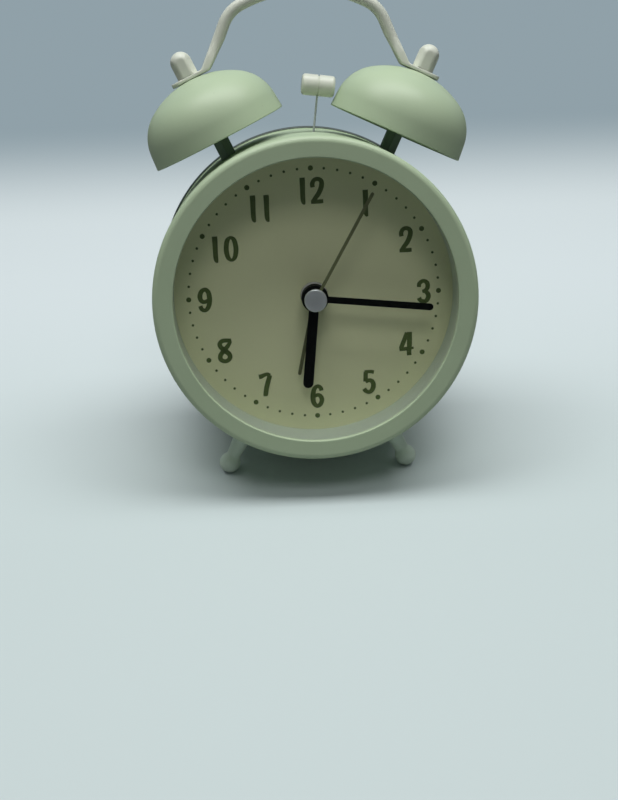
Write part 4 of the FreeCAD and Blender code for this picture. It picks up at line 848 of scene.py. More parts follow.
# ---------------- case
@dataclass
class Case:
    """Bezel, lens, spacer ring and drawn can."""

    radius: float = 45.0
    opening: float = 39.3
    front: float = -14.2
    edge: float = 1.7
    curl: float = 0.35
    wall: float = 0.8
    bezel_back: float = 1.4
    back_edge: float = 0.25
    lens_front: float = -12.9
    lens_back: float = -11.7
    lens_radius: float = 41.6
    lens_edge: float = 0.15
    seat: float = 39.8
    lip: float = 0.2
    foot: Spot = (43.4, -1.2)
    neck: Spot = (44.15, -3.0)
    shoulder: Spot = (1.9, 0.4)
    can_wall: float = 0.6
    rear: float = 37.6
    bead: float = 0.8
    bead_step: float = 0.01
    # hem: how far out from the can's wall the painted shadow line on the bead begins
    hem: float = 0.1
    slot: Spot = (2.4, 8.6)
    slot_span: Spot = (42.0, 48.0)
    stud_hole: float = 1.6
    cutter: float = 4.0
    post_hole: float = -9.0
    leg_hole: float = 45.0

    def build(self) -> None:
        """Build the four pieces."""
        self.bezel()
        self.lens()
        self.spacer()
        self.can()

    def bezel(self) -> None:
        """Pressed ring: return flange, curled opening, flat face, rounded outer edge, plain wall."""
        curl, wall, turned = self.front + self.curl, self.wall, self.front + self.edge
        ring = Turning(self.opening, self.lens_front).line((self.opening, curl))
        ring.arc((self.opening + self.curl, curl), 90, 7).near_corner(self.radius, self.front, self.edge, 14)
        ring.far_corner(self.radius, self.bezel_back, self.back_edge)
        ring.line((self.radius - wall, self.bezel_back), (self.radius - wall, turned))
        ring.arc((self.radius - self.edge, turned), -90, 8)
        ring.line((self.opening + wall, self.front + wall), (self.opening + wall, self.lens_front))
        Piece("bezel_ring", MINT_ENAMEL, "bezel").place(ring.spun(160, closed=True))

    def lens(self) -> None:
        """Flat clear disc, its edge a little rounded."""
        disc = Turning(0, self.lens_front).near_corner(self.lens_radius, self.lens_front, self.lens_edge, 1)
        disc.far_corner(self.lens_radius, self.lens_back, self.lens_edge, 1).line((0, self.lens_back))
        Piece("lens_disc", CLEAR_LENS, "lens").place(disc.spun())

    def spacer(self) -> None:
        """Ring between the dial and the lens, with a rounded lip and a small foot step."""
        (foot, step), inner, low, high = self.foot, self.seat + self.lip, -self.lip, self.lens_back + self.lip
        ring = Turning(self.seat, low).line((self.seat, high)).arc((inner, high), 90)
        ring.line((self.lens_radius, self.lens_back), (self.lens_radius, step), (foot, step), (foot, 0))
        ring.line((inner, 0)).arc((inner, low), 90)
        Piece("spacer_wall", SPACER_MOULDING, "spacer_ring").place(ring.spun())

    def can(self) -> None:
        """Neck, shoulder, wall and rolled bead, with the hammer's slot and the stud holes; the bead's outer
        half is painted near-black as a painted shadow line along the rear rim.
        """
        (neck, front), (shoulder, bend) = self.neck, self.shoulder
        inner, neck_in, behind = self.radius - self.can_wall, neck - self.can_wall, shoulder + self.can_wall
        shell = Turning(neck_in, front).line((neck, front), (neck, shoulder))
        shell.near_corner(self.radius, shoulder, bend, 4).line((self.radius, self.rear - self.bead))
        shell.arc((self.radius, self.rear), 180, 12)
        shell.line((self.radius, self.rear + self.bead - self.bead_step))
        shell.line((inner, self.rear), (inner, behind), (neck_in, behind))
        bm = shell.spun(192, closed=True)
        # painted shadow: faces outside the bead's middle get the near-black second material, a painted shadow
        # line along the rear rim
        for face in bm.faces:
            spot = face.calc_center_median()
            face.material_index = int(hypot(spot.x, spot.z) > self.radius + self.hem)
        thing = Piece("case_can", MINT_ENAMEL, "can").place(bm)
        thing.data.materials.append(RIM_SHADOW_PAINT.material())
        self.cut(thing, self.slot_cutter())
        for side in Side:
            for place in (side.flip() @ Bells().place() @ shift(0, 0, self.post_hole),
                          Legs().place(side) @ shift(0, 0, self.leg_hole)):
                self.cut(thing, moved(round_bar(self.stud_hole, -self.cutter, self.cutter), place))

    def slot_cutter(self) -> BMesh:
        """Bar with round ends, across the top of the can.

        Returns:
            The bar, in the clock's frame.
        """
        (width, length), (low, high) = self.slot, self.slot_span
        bm = bmesh.new()
        bmesh.ops.create_circle(bm, cap_ends=True, segments=24, radius=width / 2)
        for side in Side:
            end = [v for v in bm.verts if v.co.x * side.value > TOUCH]
            bmesh.ops.translate(bm, verts=end, vec=(side.value * (length - width) / 2, 0, 0))
        return moved(slab(bm, bm.faces[:], (0, 0, high - low)), shift(0, BELL_Y, low))

    def cut(self, thing: Thing, cutter: BMesh) -> None:
        """Cut an opening through a placed piece with a Boolean modifier that is then applied.

        Args:
            thing: the piece.
            cutter: what is cut away, in the clock's frame; it is used up.
        """
        tool = thing_of("cutter", outward(moved(cutter, CLOCK)))
        boolean = thing.modifiers.new("opening", "BOOLEAN")
        boolean.operation, boolean.solver, boolean.object = "DIFFERENCE", "EXACT", tool
        thing.modifiers.move(len(thing.modifiers) - 1, 0)
        with bpy.context.temp_override(object=thing, active_object=thing):
            bpy.ops.object.modifier_apply(modifier="opening")
        bpy.data.meshes.remove(tool.data)


# ---------------- dial
Stroke = tuple[Place, ...]

DIGITS: dict[str, tuple[Stroke, ...]] = {
    "0": (((0.0, 3.15, 0.85), (-0.95, 2.4, 1.3), (-1.32, 0.7, 1.4), (-1.32, -0.9, 1.4), (-0.9, -2.5, 1.25),
           (0.0, -3.2, 0.85), (0.9, -2.5, 1.25), (1.32, -0.9, 1.4), (1.32, 0.7, 1.4), (0.9, 2.45, 1.3),
           (0.0, 3.15, 0.85)),),
    "1": (((-0.05, 3.6, 1.5), (0.0, 2.4, 1.5), (0.0, 0.0, 1.4), (0.02, -2.2, 1.35), (0.18, -3.2, 1.15),
           (0.5, -3.8, 0.5)),),
    "2": (((-1.2, 0.85, 1.2), (-1.3, 1.8, 1.25), (-0.75, 2.85, 1.15), (0.35, 3.1, 1.15), (1.2, 2.5, 1.3),
           (1.25, 1.2, 1.4), (0.55, -0.6, 1.35), (-0.6, -2.2, 1.25), (-1.2, -3.0, 1.15)),
          ((-1.8, -3.2, 1.0), (0.2, -3.12, 1.15), (1.65, -3.05, 1.1))),
    "3": (((-1.35, 1.2, 1.15), (-1.2, 2.25, 1.2), (-0.1, 2.95, 1.1), (1.0, 2.3, 1.3), (1.1, 1.0, 1.3),
           (0.4, 0.1, 1.1), (-0.4, -0.1, 1.0)),
          ((0.1, 0.05, 1.0), (1.05, -0.6, 1.3), (1.35, -1.6, 1.4), (0.85, -2.7, 1.3), (0.0, -3.0, 1.15),
           (-0.95, -2.65, 1.2), (-1.35, -1.9, 1.3))),
    "4": (((0.3, 3.2, 1.3), (-0.65, 0.9, 1.3), (-1.55, -1.4, 1.3)),
          ((0.95, 3.4, 1.5), (0.95, 0.0, 1.45), (0.8, -2.2, 1.35), (0.85, -3.5, 1.35)),
          ((-2.0, -1.7, 0.95), (0.2, -1.5, 1.1), (2.15, -1.3, 0.6))),
    "5": (((-1.35, 3.15, 1.0), (0.3, 3.2, 1.0), (1.4, 3.0, 1.1)),
          ((-1.0, 3.2, 1.25), (-1.05, 1.8, 1.3), (-1.1, 0.3, 1.3)),
          ((-1.1, 0.15, 1.0), (0.0, 0.6, 1.15), (0.9, 0.15, 1.3), (1.2, -0.95, 1.4), (0.85, -2.2, 1.35),
           (-0.05, -2.95, 1.15), (-1.05, -2.6, 1.2), (-1.55, -1.9, 1.3))),
    "6": (((1.2, 1.6, 1.2), (1.0, 2.45, 1.2), (0.1, 2.98, 1.1), (-0.85, 2.2, 1.3), (-1.28, 0.3, 1.45),
           (-1.2, -1.65, 1.4), (-0.6, -2.7, 1.25), (0.1, -2.95, 1.15), (0.9, -2.35, 1.3), (1.28, -1.1, 1.35),
           (0.9, -0.05, 1.25), (0.1, 0.35, 1.1), (-0.85, 0.0, 1.0)),),
    "7": (((-1.85, 2.45, 1.35), (-1.1, 2.6, 1.3), (-0.2, 3.0, 1.1), (0.6, 3.15, 1.1), (1.35, 2.75, 1.2)),
          ((1.35, 2.85, 1.35), (0.7, 0.8, 1.4), (0.2, -1.1, 1.4), (-0.1, -3.0, 1.35), (-0.12, -3.4, 0.95))),
    "8": (((1.95, 3.2, 0.7), (0.75, 3.05, 1.15), (-0.6, 2.95, 1.2), (-1.4, 2.1, 1.3), (-1.05, 1.05, 1.35),
           (0.1, 0.0, 1.45), (1.15, -0.95, 1.4), (1.4, -1.9, 1.3), (0.8, -2.8, 1.2), (-0.25, -3.05, 1.15),
           (-1.2, -2.55, 1.3), (-1.42, -1.6, 1.35), (-0.85, -0.55, 1.35), (0.15, 0.55, 1.3),
           (1.05, 1.65, 1.15), (1.75, 2.85, 0.95)),),
    "9": (((-1.3, -1.7, 1.2), (-0.95, -2.65, 1.2), (0.05, -3.0, 1.1), (0.95, -2.1, 1.3), (1.4, -0.2, 1.45),
           (1.25, 1.8, 1.4), (0.7, 2.75, 1.25), (0.0, 2.95, 1.15), (-0.85, 2.35, 1.3), (-1.3, 1.0, 1.4),
           (-0.95, -0.2, 1.25), (-0.1, -0.6, 1.1), (0.85, -0.2, 1.0)),),
}


@dataclass
class Pen:
    """Draws strokes of changing width as thin raised ink on the dial's face."""

    thickness: float = 0.03
    step: float = 0.003
    strokes: int = 0
    bm: BMesh = field(default_factory=bmesh.new)

    @staticmethod
    def eased(stroke: Stroke, parts: int = 6) -> list[Vector]:
        """Points of a smooth line through the stroke's own points, with the width as a third number.

        Args:
            stroke: points as (x, z, width).
            parts: points for each run.

        Returns:
            The smooth line's points.
        """
        knots = [Vector(p) for p in stroke]
        closed = (knots[0] - knots[-1]).length < 1e-6
        before = knots[-2] if closed else knots[0] * 2 - knots[1]
        after = knots[1] if closed else knots[-1] * 2 - knots[-2]
        run = [before, *knots, after]
        line = []
        for a, b, c, d in zip(run, run[1:], run[2:], run[3:]):
            for t in (step / parts for step in range(parts)):
                line.append(0.5 * (2 * b + (c - a) * t + (2 * a - 5 * b + 4 * c - d) * t * t
                                   + (3 * b - a - 3 * c + d) * t ** 3))
        return [*line, knots[-1]]

    def draw(self, stroke: Stroke, x: float, z: float) -> None:
        """Drag a nib, an edge across the way, along the stroke.

        Args:
            stroke: points as (x, z, width) from the digit's centre.
            x: the digit's centre on the dial.
            z: the same, upward.
        """
        line = self.eased(stroke)
        last = len(line) - 1
        closed = (line[0] - line[-1]).length < 1e-6
        depth = -self.thickness - self.step * self.strokes
        nib, edges, faces = [], [], []
        for i, spot in enumerate(line):
            ahead = line[1 if closed and i == last else min(i + 1, last)]
            behind = line[-2 if closed and i == 0 else max(i - 1, 0)]
            way = Vector((ahead.x - behind.x, ahead.y - behind.y)).normalized()
            side = Vector((-way.y, way.x)) * spot.z / 2
            ends = [(x + spot.x + s * side.x, depth, z + spot.y + s * side.y) for s in (1, -1)]
            if nib:
                nib, edges, made = next_ring(self.bm, nib, edges)
                faces += made
            else:
                nib = [self.bm.verts.new(end) for end in ends]
                edges = [self.bm.edges.new(nib)]
            for vert, end in zip(nib, ends):
                vert.co = end
        self.strokes += 1
        slab(self.bm, faces, (0, self.thickness + self.step * self.strokes, 0))


@dataclass
class Dial:
    """Printed dial: the sheet, a ring of dots and twelve numerals."""

    radius: float = 43.4
    bore: float = 3.9
    thickness: float = 0.5
    dot_ring: float = 35.69
    big_dot: float = 0.725
    small_dot: float = 0.375
    ink: Spot = (0.03, 0.003)
    numerals: dict[str, tuple[Spot, tuple[float, ...]]] = field(default_factory=lambda: {
        "12": ((0.24, 29.52), (-2.6, 1.45)), "1": ((15.17, 25.61), (0.0,)), "2": ((26.4, 15.01), (0.0,)),
        "3": ((31.42, 0.0), (0.0,)), "4": ((26.28, -15.19), (0.0,)), "5": ((15.38, -26.29), (0.0,)),
        "6": ((0.12, -29.83), (0.0,)), "7": ((-14.86, -25.83), (0.0,)), "8": ((-26.16, -15.25), (0.0,)),
        "9": ((-31.19, -0.19), (0.0,)), "10": ((-24.59, 14.09), (-2.85, 1.6)),
        "11": ((-14.45, 25.09), (-1.9, 1.9))})

    def build(self) -> None:
        """Build the sheet and its print."""
        sheet = Turning(self.bore, 0).line((self.radius, 0), (self.radius, self.thickness))
        sheet.line((self.bore, self.thickness))
        Piece("dial_sheet", DIAL_SHEET, "dial").place(sheet.spun(closed=True))
        pen = Pen(*self.ink)
        for digits, ((x, z), offsets) in self.numerals.items():
            for digit, offset in zip(digits, offsets):
                for stroke in DIGITS[digit]:
                    pen.draw(stroke, x + offset, z)
        Piece("dial_numerals", DIAL_INK).place(pen.bm, crease=60)
        Piece("dial_dots", DIAL_INK).place(self.dots(), crease=60)

    def dots(self) -> BMesh:
        """One dot for each minute, a bigger one for each hour.

        Returns:
            The dots.
        """
        bm = bmesh.new()
        raised, below = self.ink
        for minute in range(60 // HOURS):
            place = turn(MINUTE_TURN * minute, "Y") @ shift(0, -raised, self.dot_ring) @ turn(90, "X")
            bmesh.ops.create_circle(bm, cap_ends=True, segments=20, matrix=place,
                                    radius=self.small_dot if minute else self.big_dot)
        others = HOURS - 1
        spin(bm, everything(bm), (0, 0, 0), (0, 1, 0), 2 * pi * others / HOURS, others, use_duplicate=True)
        return slab(bm, bm.faces[:], (0, raised + below, 0))


# ---------------- bells, posts and cap nuts
@dataclass
class Bells:
    """Two gongs on hexagonal posts, each held by a domed cap nut."""

    rim: Place = (25.0, BELL_Y, 43.9)
    tilt: float = 25.0
    radius: float = 20.0
    height: float = 18.0
    wall: float = 0.8
    rim_edge: float = 0.28
    rim_reach: float = 0.08
    skirt: float = 4.5
    slope: float = 5.0
    crown: float = 26.0
    seat: float = 2.6
    stud_hole: float = 1.6
    post_edge: float = 0.2
    nut_flats: float = 5.5
    nut_height: float = 4.15
    nut_corner: float = 0.25
    nut_foot: float = 0.2
    nut_stops: Spot = (1.2, 2.4)
    tab: float = 1.2

    def place(self) -> Matrix:
        """From a bell's own axis, Z, to the right bell's place."""
        return Matrix.Translation(self.rim) @ turn(self.tilt, "Y")

    def build(self) -> None:
        """Build both sides."""
        nuts = []
        for side in Side:
            place, label = side.flip() @ self.place(), side.name.lower()
            Piece(f"gong_{label}", MINT_ENAMEL, f"bell_{label}").place(self.gong(), place @ Y_TO_Z, 50)
            post = ease_edges(merged_solid(f"bell_post_{label}"), self.post_edge)
            Piece(f"gong_post_{label}", POST_PAINT, f"bell_post_{label}").place(post)
            nuts.append(outward(moved(self.cap_nut(), place)))
        Piece("gong_cap_nuts", CREAM_ENAMEL, "cap_nuts").place(joined(*nuts), crease=20)

    def seat_height(self) -> float:
        """Height of the flat seat on the crown."""
        return self.height - self.crown + sqrt(self.crown ** 2 - self.seat ** 2)

    def gong(self) -> BMesh:
        """Outer meridian, given its wall inward, with a rounded rim and a stud hole.

        Returns:
            The gong round Y, its mouth at 0.
        """
        slope = radians(self.slope)
        top = Vector((self.radius - self.skirt * tan(slope), self.skirt))
        centre = Vector((0, self.height - self.crown))
        inward, arm = Vector((-cos(slope), -sin(slope))), top - centre
        bend = (self.crown ** 2 - arm.dot(arm)) / (2 * (arm.dot(inward) + self.crown))
        shoulder = top + inward * bend
        joint = degrees(atan2(*reversed(shoulder - centre)))
        dome = Turning(self.radius, 0).line(tuple((Vector((self.radius, 0)) + top) / 2), tuple(top))
        dome.arc(tuple(shoulder), joint - self.slope, 18)
        dome.arc(tuple(centre), degrees(acos(self.seat / self.crown)) - joint, 26)
        bm = dome.line((self.stud_hole, self.seat_height())).spun(144)
        first = bm.faces[0]
        middle = first.calc_center_median()
        if first.normal.dot((middle.x, 0, middle.z)) < 0:
            bmesh.ops.reverse_faces(bm, faces=bm.faces[:])
        bmesh.ops.solidify(bm, geom=bm.faces[:], thickness=self.wall)
        low = {v for v in bm.verts if abs(v.co.y) < self.rim_reach}
        rim = [e for e in bm.edges if low.issuperset(e.verts) and e.calc_face_angle(0) > 1]
        bevel(bm, rim, self.rim_edge, 3, False)
        return bm

    def cap_nut(self) -> BMesh:
        """Hexagon whose corners run up softly into a round dome.

        Returns:
            The nut on a bell's axis, Z.
        """
        low, flat_reach = self.seat_height() + self.tab, self.nut_flats / 2
        radius, high = flat_reach + self.nut_corner, low + self.nut_height
        nut = Turning(0, low).near_corner(radius, low, self.nut_foot)
        nut.line(*((radius, low + stop) for stop in self.nut_stops), (radius, high))
        bm = nut.arc((0, high), 90, 14).spun(96)
        for vert in bm.verts:
            reach = hypot(vert.co.x, vert.co.z)
            angle = degrees(atan2(vert.co.z, vert.co.x)) % 60 - 30
            flat = flat_reach / cos(radians(angle))
            if reach > flat:
                vert.co.x, vert.co.z = vert.co.x * flat / reach, vert.co.z * flat / reach
        return moved(bm, Y_TO_Z)


# ---------------- handle
Section = tuple[Vector, Vector, float]


@dataclass
class Handle:
    """Bent bar, flattened at each end into a tab that is clamped under a cap nut."""

    bar: float = 1.65
    lean: float = 23.1
    shoulder: float = 10.0
    top: float = 84.0
    arch: float = 40.0
    thick: float = 1.2
    width: float = 6.0
    inner: float = 6.0
    outer: float = 5.3
    tab_angles: tuple[float, ...] = (8, 20, 34, 48, 62, 76, 90)
    tab_stops: tuple[float, ...] = (4.6, 6.2)
    leg_stops: tuple[float, ...] = (2.6, 3.6, 4.8, 6.2, 7.6, 9.0)
    turn_start: Spot = (2.3, 0.3)
    turn_end: float = 0.9
    turn_share: float = 0.07
    inner_corner: float = -0.35
    round_from: float = 8.0
    squareness: float = 0.62
    seam: float = 0.01

    def build(self) -> None:
        """Sweep the right half and mirror it."""
        bm = self.half()
        bmesh.ops.mirror(bm, geom=everything(bm), matrix=Matrix(), axis="X", merge_dist=self.seam)
        Piece("carrying_handle", CREAM_ENAMEL, "handle").place(tidy(bm, self.seam), crease=42)

    def on_tab(self, reach: float, up: float) -> Vector:
        """A spot by its distance outward from the bell's axis and its height over the tab's underside."""
        return Bells().place() @ Vector((reach, 0, Bells().seat_height() + up))

    def half(self) -> BMesh:
        """From the tab's round end, over the bend and up the leg, round to the arch's middle.

        Returns:
            The open half, its last loop on X = 0.
        """
        lean = radians(self.lean)
        bend = self.on_tab(-self.inner, self.thick / 2)
        along, outside = Vector((-sin(lean), 0, cos(lean))), Vector((cos(lean), 0, sin(lean)))
        centre = Vector((0, bend.y, self.top - self.arch))
        offset = bend - outside * self.shoulder - centre
        past = offset.dot(along)
        travel = -past + sqrt(past * past - offset.dot(offset) + (self.arch - self.shoulder) ** 2)
        shoulder = bend - outside * self.shoulder + along * travel
        outward_way = (shoulder - centre).normalized()

        bm = bmesh.new()
        bmesh.ops.create_circle(bm, cap_ends=True, segments=32, radius=1.0)
        circle = [v.co.copy() for v in bm.verts]
        ring, edges = bm.verts[:], bm.edges[:]
        sections = self.tab_sections() + self.leg_sections(bend, along, outside, travel)
        for index, section in enumerate(sections):
            if index:
                ring, edges, _ = next_ring(bm, ring, edges)
            self.set_ring(ring, circle, section)
        for middle, angle, steps in ((shoulder, acos(outside.dot(outward_way)), 12),
                                     (centre, atan2(outward_way.x, outward_way.z), 14)):
            made = spin(bm, ring + edges, middle, (0, -1, 0), angle, steps)
            ring, edges = only(BMVert, made), only(BMEdge, made)
        return bm

    def tab_sections(self) -> list[Section]:
        """Upper point, lower point and half width at stops along the tab, from its round end.

        Returns:
            The sections.
        """
        radius, sections = self.width / 2, []
        for reach in (*(radius * (1 - cos(radians(a))) for a in self.tab_angles), *self.tab_stops):
            half = sqrt(radius ** 2 - max(0.0, radius - reach) ** 2)
            sections.append((*(self.on_tab(self.outer - reach, up) for up in (self.thick, 0.0)), half))
        return sections

    def leg_sections(self, bend: Vector, along: Vector, outside: Vector, travel: float) -> list[Section]:
        """The turn from the tab's faces into the bar, then the leg.

        Args:
            bend: where the tab's middle meets the leg's.
            along: up the leg.
            outside: away from the clock's middle, square to the leg.
            travel: length of the leg.

        Returns:
            Upper point, lower point and half width at each stop.
        """
        tab_up = Bells().place().to_3x3() @ Vector((0, 0, 1))
        upper = self.on_tab(self.turn_start[0] - self.inner, self.thick)
        lower = self.on_tab(self.turn_start[1] - self.inner, 0.0)
        thick, straight = outside * self.bar, self.leg_stops[-1]
        line, inside = bend + thick, bend + along * straight - thick
        upper_corner = line - along * ((line - upper).dot(tab_up) / along.dot(tab_up))
        lower_corner = self.on_tab(self.inner_corner - self.inner, 0.0)
        turns = ((upper, upper_corner, upper_corner + along * self.turn_end),
                 (lower, lower_corner, lower_corner.lerp(inside, self.turn_share)))
        sections = []
        for share in (step / 6 for step in range(7)):
            ends = [first.lerp(corner, share).lerp(corner.lerp(last, share), share)
                    for first, corner, last in turns]
            sections.append((*ends, self.half_width(share)))
        for reach in self.leg_stops:
            lower = lower_corner.lerp(inside, reach / straight)
            sections.append((line + along * reach, lower, self.half_width(reach)))
        end = bend + along * travel
        return [*sections, (end + thick, end - thick, self.bar)]

    def half_width(self, reach: float) -> float:
        """Half the width, from the tab's down to the bar's."""
        share = min(1.0, max(0.0, reach / self.round_from))
        return self.width / 2 + (self.bar - self.width / 2) * share * share * (3 - 2 * share)

    def set_ring(self, ring: list, circle: list[Vector], section: Section) -> None:
        """Lay a ring on its section: flat ones square with round corners, thick ones round.

        Args:
            ring: the ring's points.
            circle: the same points on a circle of radius 1.
            section: upper point, lower point and half width.
        """
        upper, lower, half = section
        middle, up = (upper + lower) / 2, (upper - lower) / 2
        power = 1.0 - self.squareness * min(1.0, max(0.0, half / up.length - 1.0))
        for vert, spot in zip(ring, circle):
            wide, high = (copysign(abs(c) ** power, c) for c in (spot.x, spot.y))
            vert.co = middle + Vector((0, wide * half, 0)) + up * high


# ---------------- hammer
@dataclass
class Hammer:
    """Round mallet on a spring wire."""

    pivot: float = 31.0
    reach: float = 26.9
    rest: float = 7.3
    head: Spot = (2.95, 9.4)
    edge: float = 0.9
    groove: Spot = (0.4, 0.4)
    groove_edge: float = 0.12
    wire: float = 0.28
    hub: float = 2.0

    def build(self) -> None:
        """Build the head and the wire."""
        swing = shift(0, BELL_Y, self.pivot) @ turn(self.rest, "Y")
        head = swing @ shift(0, 0, self.reach) @ turn(90, "Z")
        Piece("hammer_mallet", CREAM_ENAMEL, "hammer_head", "hammer").place(self.mallet(), head, 50)
        wire = round_bar(self.wire, self.hub, self.reach)
        sides = [e for e in wire.edges if abs(e.verts[0].co.z - e.verts[1].co.z) > 1]
        bmesh.ops.subdivide_edges(wire, edges=sides, cuts=6)
        Piece("hammer_spring_wire", WIRE_STEEL, "hammer_wire", "hammer").place(wire, swing)

    def mallet(self) -> BMesh:
        """Round head along Y, its ends rounded, a groove round its middle.

        Returns:
            The head.
        """
        (radius, length), (width, depth) = self.head, self.groove
        end, side = length / 2, width / 2
        head = Turning(0, -end).near_corner(radius, -end, self.edge, 6)
        head.far_corner(radius, -side, self.groove_edge).line((radius - depth, -side), (radius - depth, side))
        head.near_corner(radius, side, self.groove_edge)
        return head.far_corner(radius, end, self.edge, 6).line((0, end)).spun(56)


# ---------------- legs
@dataclass
class Legs:
    """Two cast legs: a neck that widens towards the case, and a ball foot with a small flat."""

    angle: float = 27.5
    y: float = 5.5
    ball: float = 3.15
    reach: float = 57.3
    case: float = 44.4
    stud: Spot = (1.5, 3.6)
    stud_edge: float = 0.2
    profile: tuple[Spot, ...] = ((3.25, 0.35), (3.4, 0.6), (2.95, 2.6), (2.45, 5.4))
    neck: float = 2.1
    neck_stops: Spot = (0.7, 0.35)
    step: float = 2.3

    def place(self, side: Side) -> Matrix:
        """From a leg's own axis, Z outward, to its place."""
        return side.flip() @ shift(0, self.y, 0) @ turn(180 - self.angle, "Y")

    def build(self) -> None:
        """Build both legs and flatten each ball on the floor."""
        for side in Side:
            label = side.name.lower()
            bm = moved(self.leg(), CLOCK @ self.place(side) @ Y_TO_Z)
            cut = bmesh.ops.bisect_plane(bm, geom=everything(bm), dist=1e-8, plane_co=(0, 0, 0),
                                         plane_no=(0, 0, -1), clear_outer=True)
            bmesh.ops.contextual_create(bm, geom=only(BMEdge, cut["geom_cut"]))
            moved(outward(bm), CLOCK.inverted())
            # painted light: the legs take the lighter copy of the cream paint, in place of the light the
            # floor throws on them
            Piece(f"ball_foot_{label}", LEG_ENAMEL_PAINTED_LIGHT, f"leg_{label}").place(bm, crease=48)

    def leg(self) -> BMesh:
        """Outline from the stud's end outward: stud, root, waist, small step, ball.

        Returns:
            The leg round Y.
        """
        stud, length = self.stud
        rise = sqrt(self.ball ** 2 - self.step ** 2)
        high = self.reach - rise
        leg = Turning(0, self.case - length).near_corner(stud, self.case - length, self.stud_edge, 1)
        leg.line((stud, self.case), *((radius, self.case + along) for radius, along in self.profile))
        leg.line(*((self.neck, high - stop) for stop in self.neck_stops), (self.step, high))
        return leg.arc((0, self.reach), 90 + degrees(atan2(rise, self.step)), 22).spun(56)


# ---------------- hands
@dataclass(frozen=True)
class HandShape:
    """A straight, round-ended hand and where it points."""

    name: str
    body: str
    finish: Finish
    length: float
    width: float
    angle: float
    y: float
    hub: float
    bore: float
    collet: float = 0.0


@dataclass
class Hands:
    """Four hands and the dished cap in front of them."""

    thickness: float = 0.4
    blade_edge: float = 0.09
    hub_edge: float = 0.1
    cap_radius: float = 3.15
    cap_span: Spot = (-9.5, -8.2)
    cap_edge: float = 0.3
    cap_dish: float = 0.12
    shapes: tuple[HandShape, ...] = (
        HandShape("alarm", "alarm", HAND_OLIVE, 23.3, 1.0, 192.4, -2.2, 3.6, 2.6),
        HandShape("hour", "hour", HAND_BLACK, 26.4, 2.95, 185.9, -4.2, 3.8, 1.9, 0.9),
        HandShape("minute", "minute", HAND_BLACK, 33.5, 1.95, 96.2, -6.2, 3.8, 1.2, 0.9),
        HandShape("second", "second_train", HAND_OLIVE, 33.5, 0.92, 29.7, -8.2, 1.6, 0.5))

    def build(self) -> None:
        """Build the hands, then the cap."""
        for shape in self.shapes:
            piece = Piece(f"{shape.name}_pointer", shape.finish, f"{shape.name}_hand", shape.body)
            piece.place(self.hand(shape))
        Piece("centre_cap", CAP_ALUMINIUM, "hand_cap", "second_train").place(self.cap(), crease=55)

    def hand(self, shape: HandShape) -> BMesh:
        """A stamped blade with a rounded tip and eased edges, on its hub ring.

        Args:
            shape: the hand's sizes.

        Returns:
            The hand, turned to where it points.
        """
        half, edge = shape.width / 2, self.hub_edge
        blade = bmesh.new()
        bmesh.ops.create_circle(blade, cap_ends=True, segments=20, radius=half, matrix=turn(90, "X"))
        tip = [v for v in blade.verts if v.co.z > -TOUCH]
        bmesh.ops.translate(blade, verts=tip, vec=(0, 0, shape.length - half))
        root = [v for v in blade.verts if v.co.z < TOUCH]
        bmesh.ops.translate(blade, verts=root, vec=(0, 0, (shape.bore + shape.hub) / 2))
        moved(slab(blade, blade.faces[:], (0, self.thickness, 0)), shift(0, shape.y, 0))
        back = shape.y + self.thickness + shape.collet
        ring = Turning(shape.bore, shape.y).near_corner(shape.hub, shape.y, edge)
        hub = ring.far_corner(shape.hub, back, edge).line((shape.bore, back)).spun(64, closed=True)
        return moved(joined(ease_edges(blade, self.blade_edge, 50), hub), turn(shape.angle, "Y"))

    def cap(self) -> BMesh:
        """Round cap with a rolled lip and a very shallow dish.

        Returns:
            The cap.
        """
        radius, edge, dish, (front, back) = self.cap_radius, self.cap_edge, self.cap_dish, self.cap_span
        lip = radius - 2 * edge
        dish_radius = (lip ** 2 + dish ** 2) / (2 * dish)
        cap = Turning(0, front + dish)
        cap.arc((0, front + dish - dish_radius), -degrees(asin(lip / dish_radius)), 8)
        cap.near_corner(radius, front, edge, 6).far_corner(radius, back, self.hub_edge, 1)
        return cap.line((0, back)).spun(72)


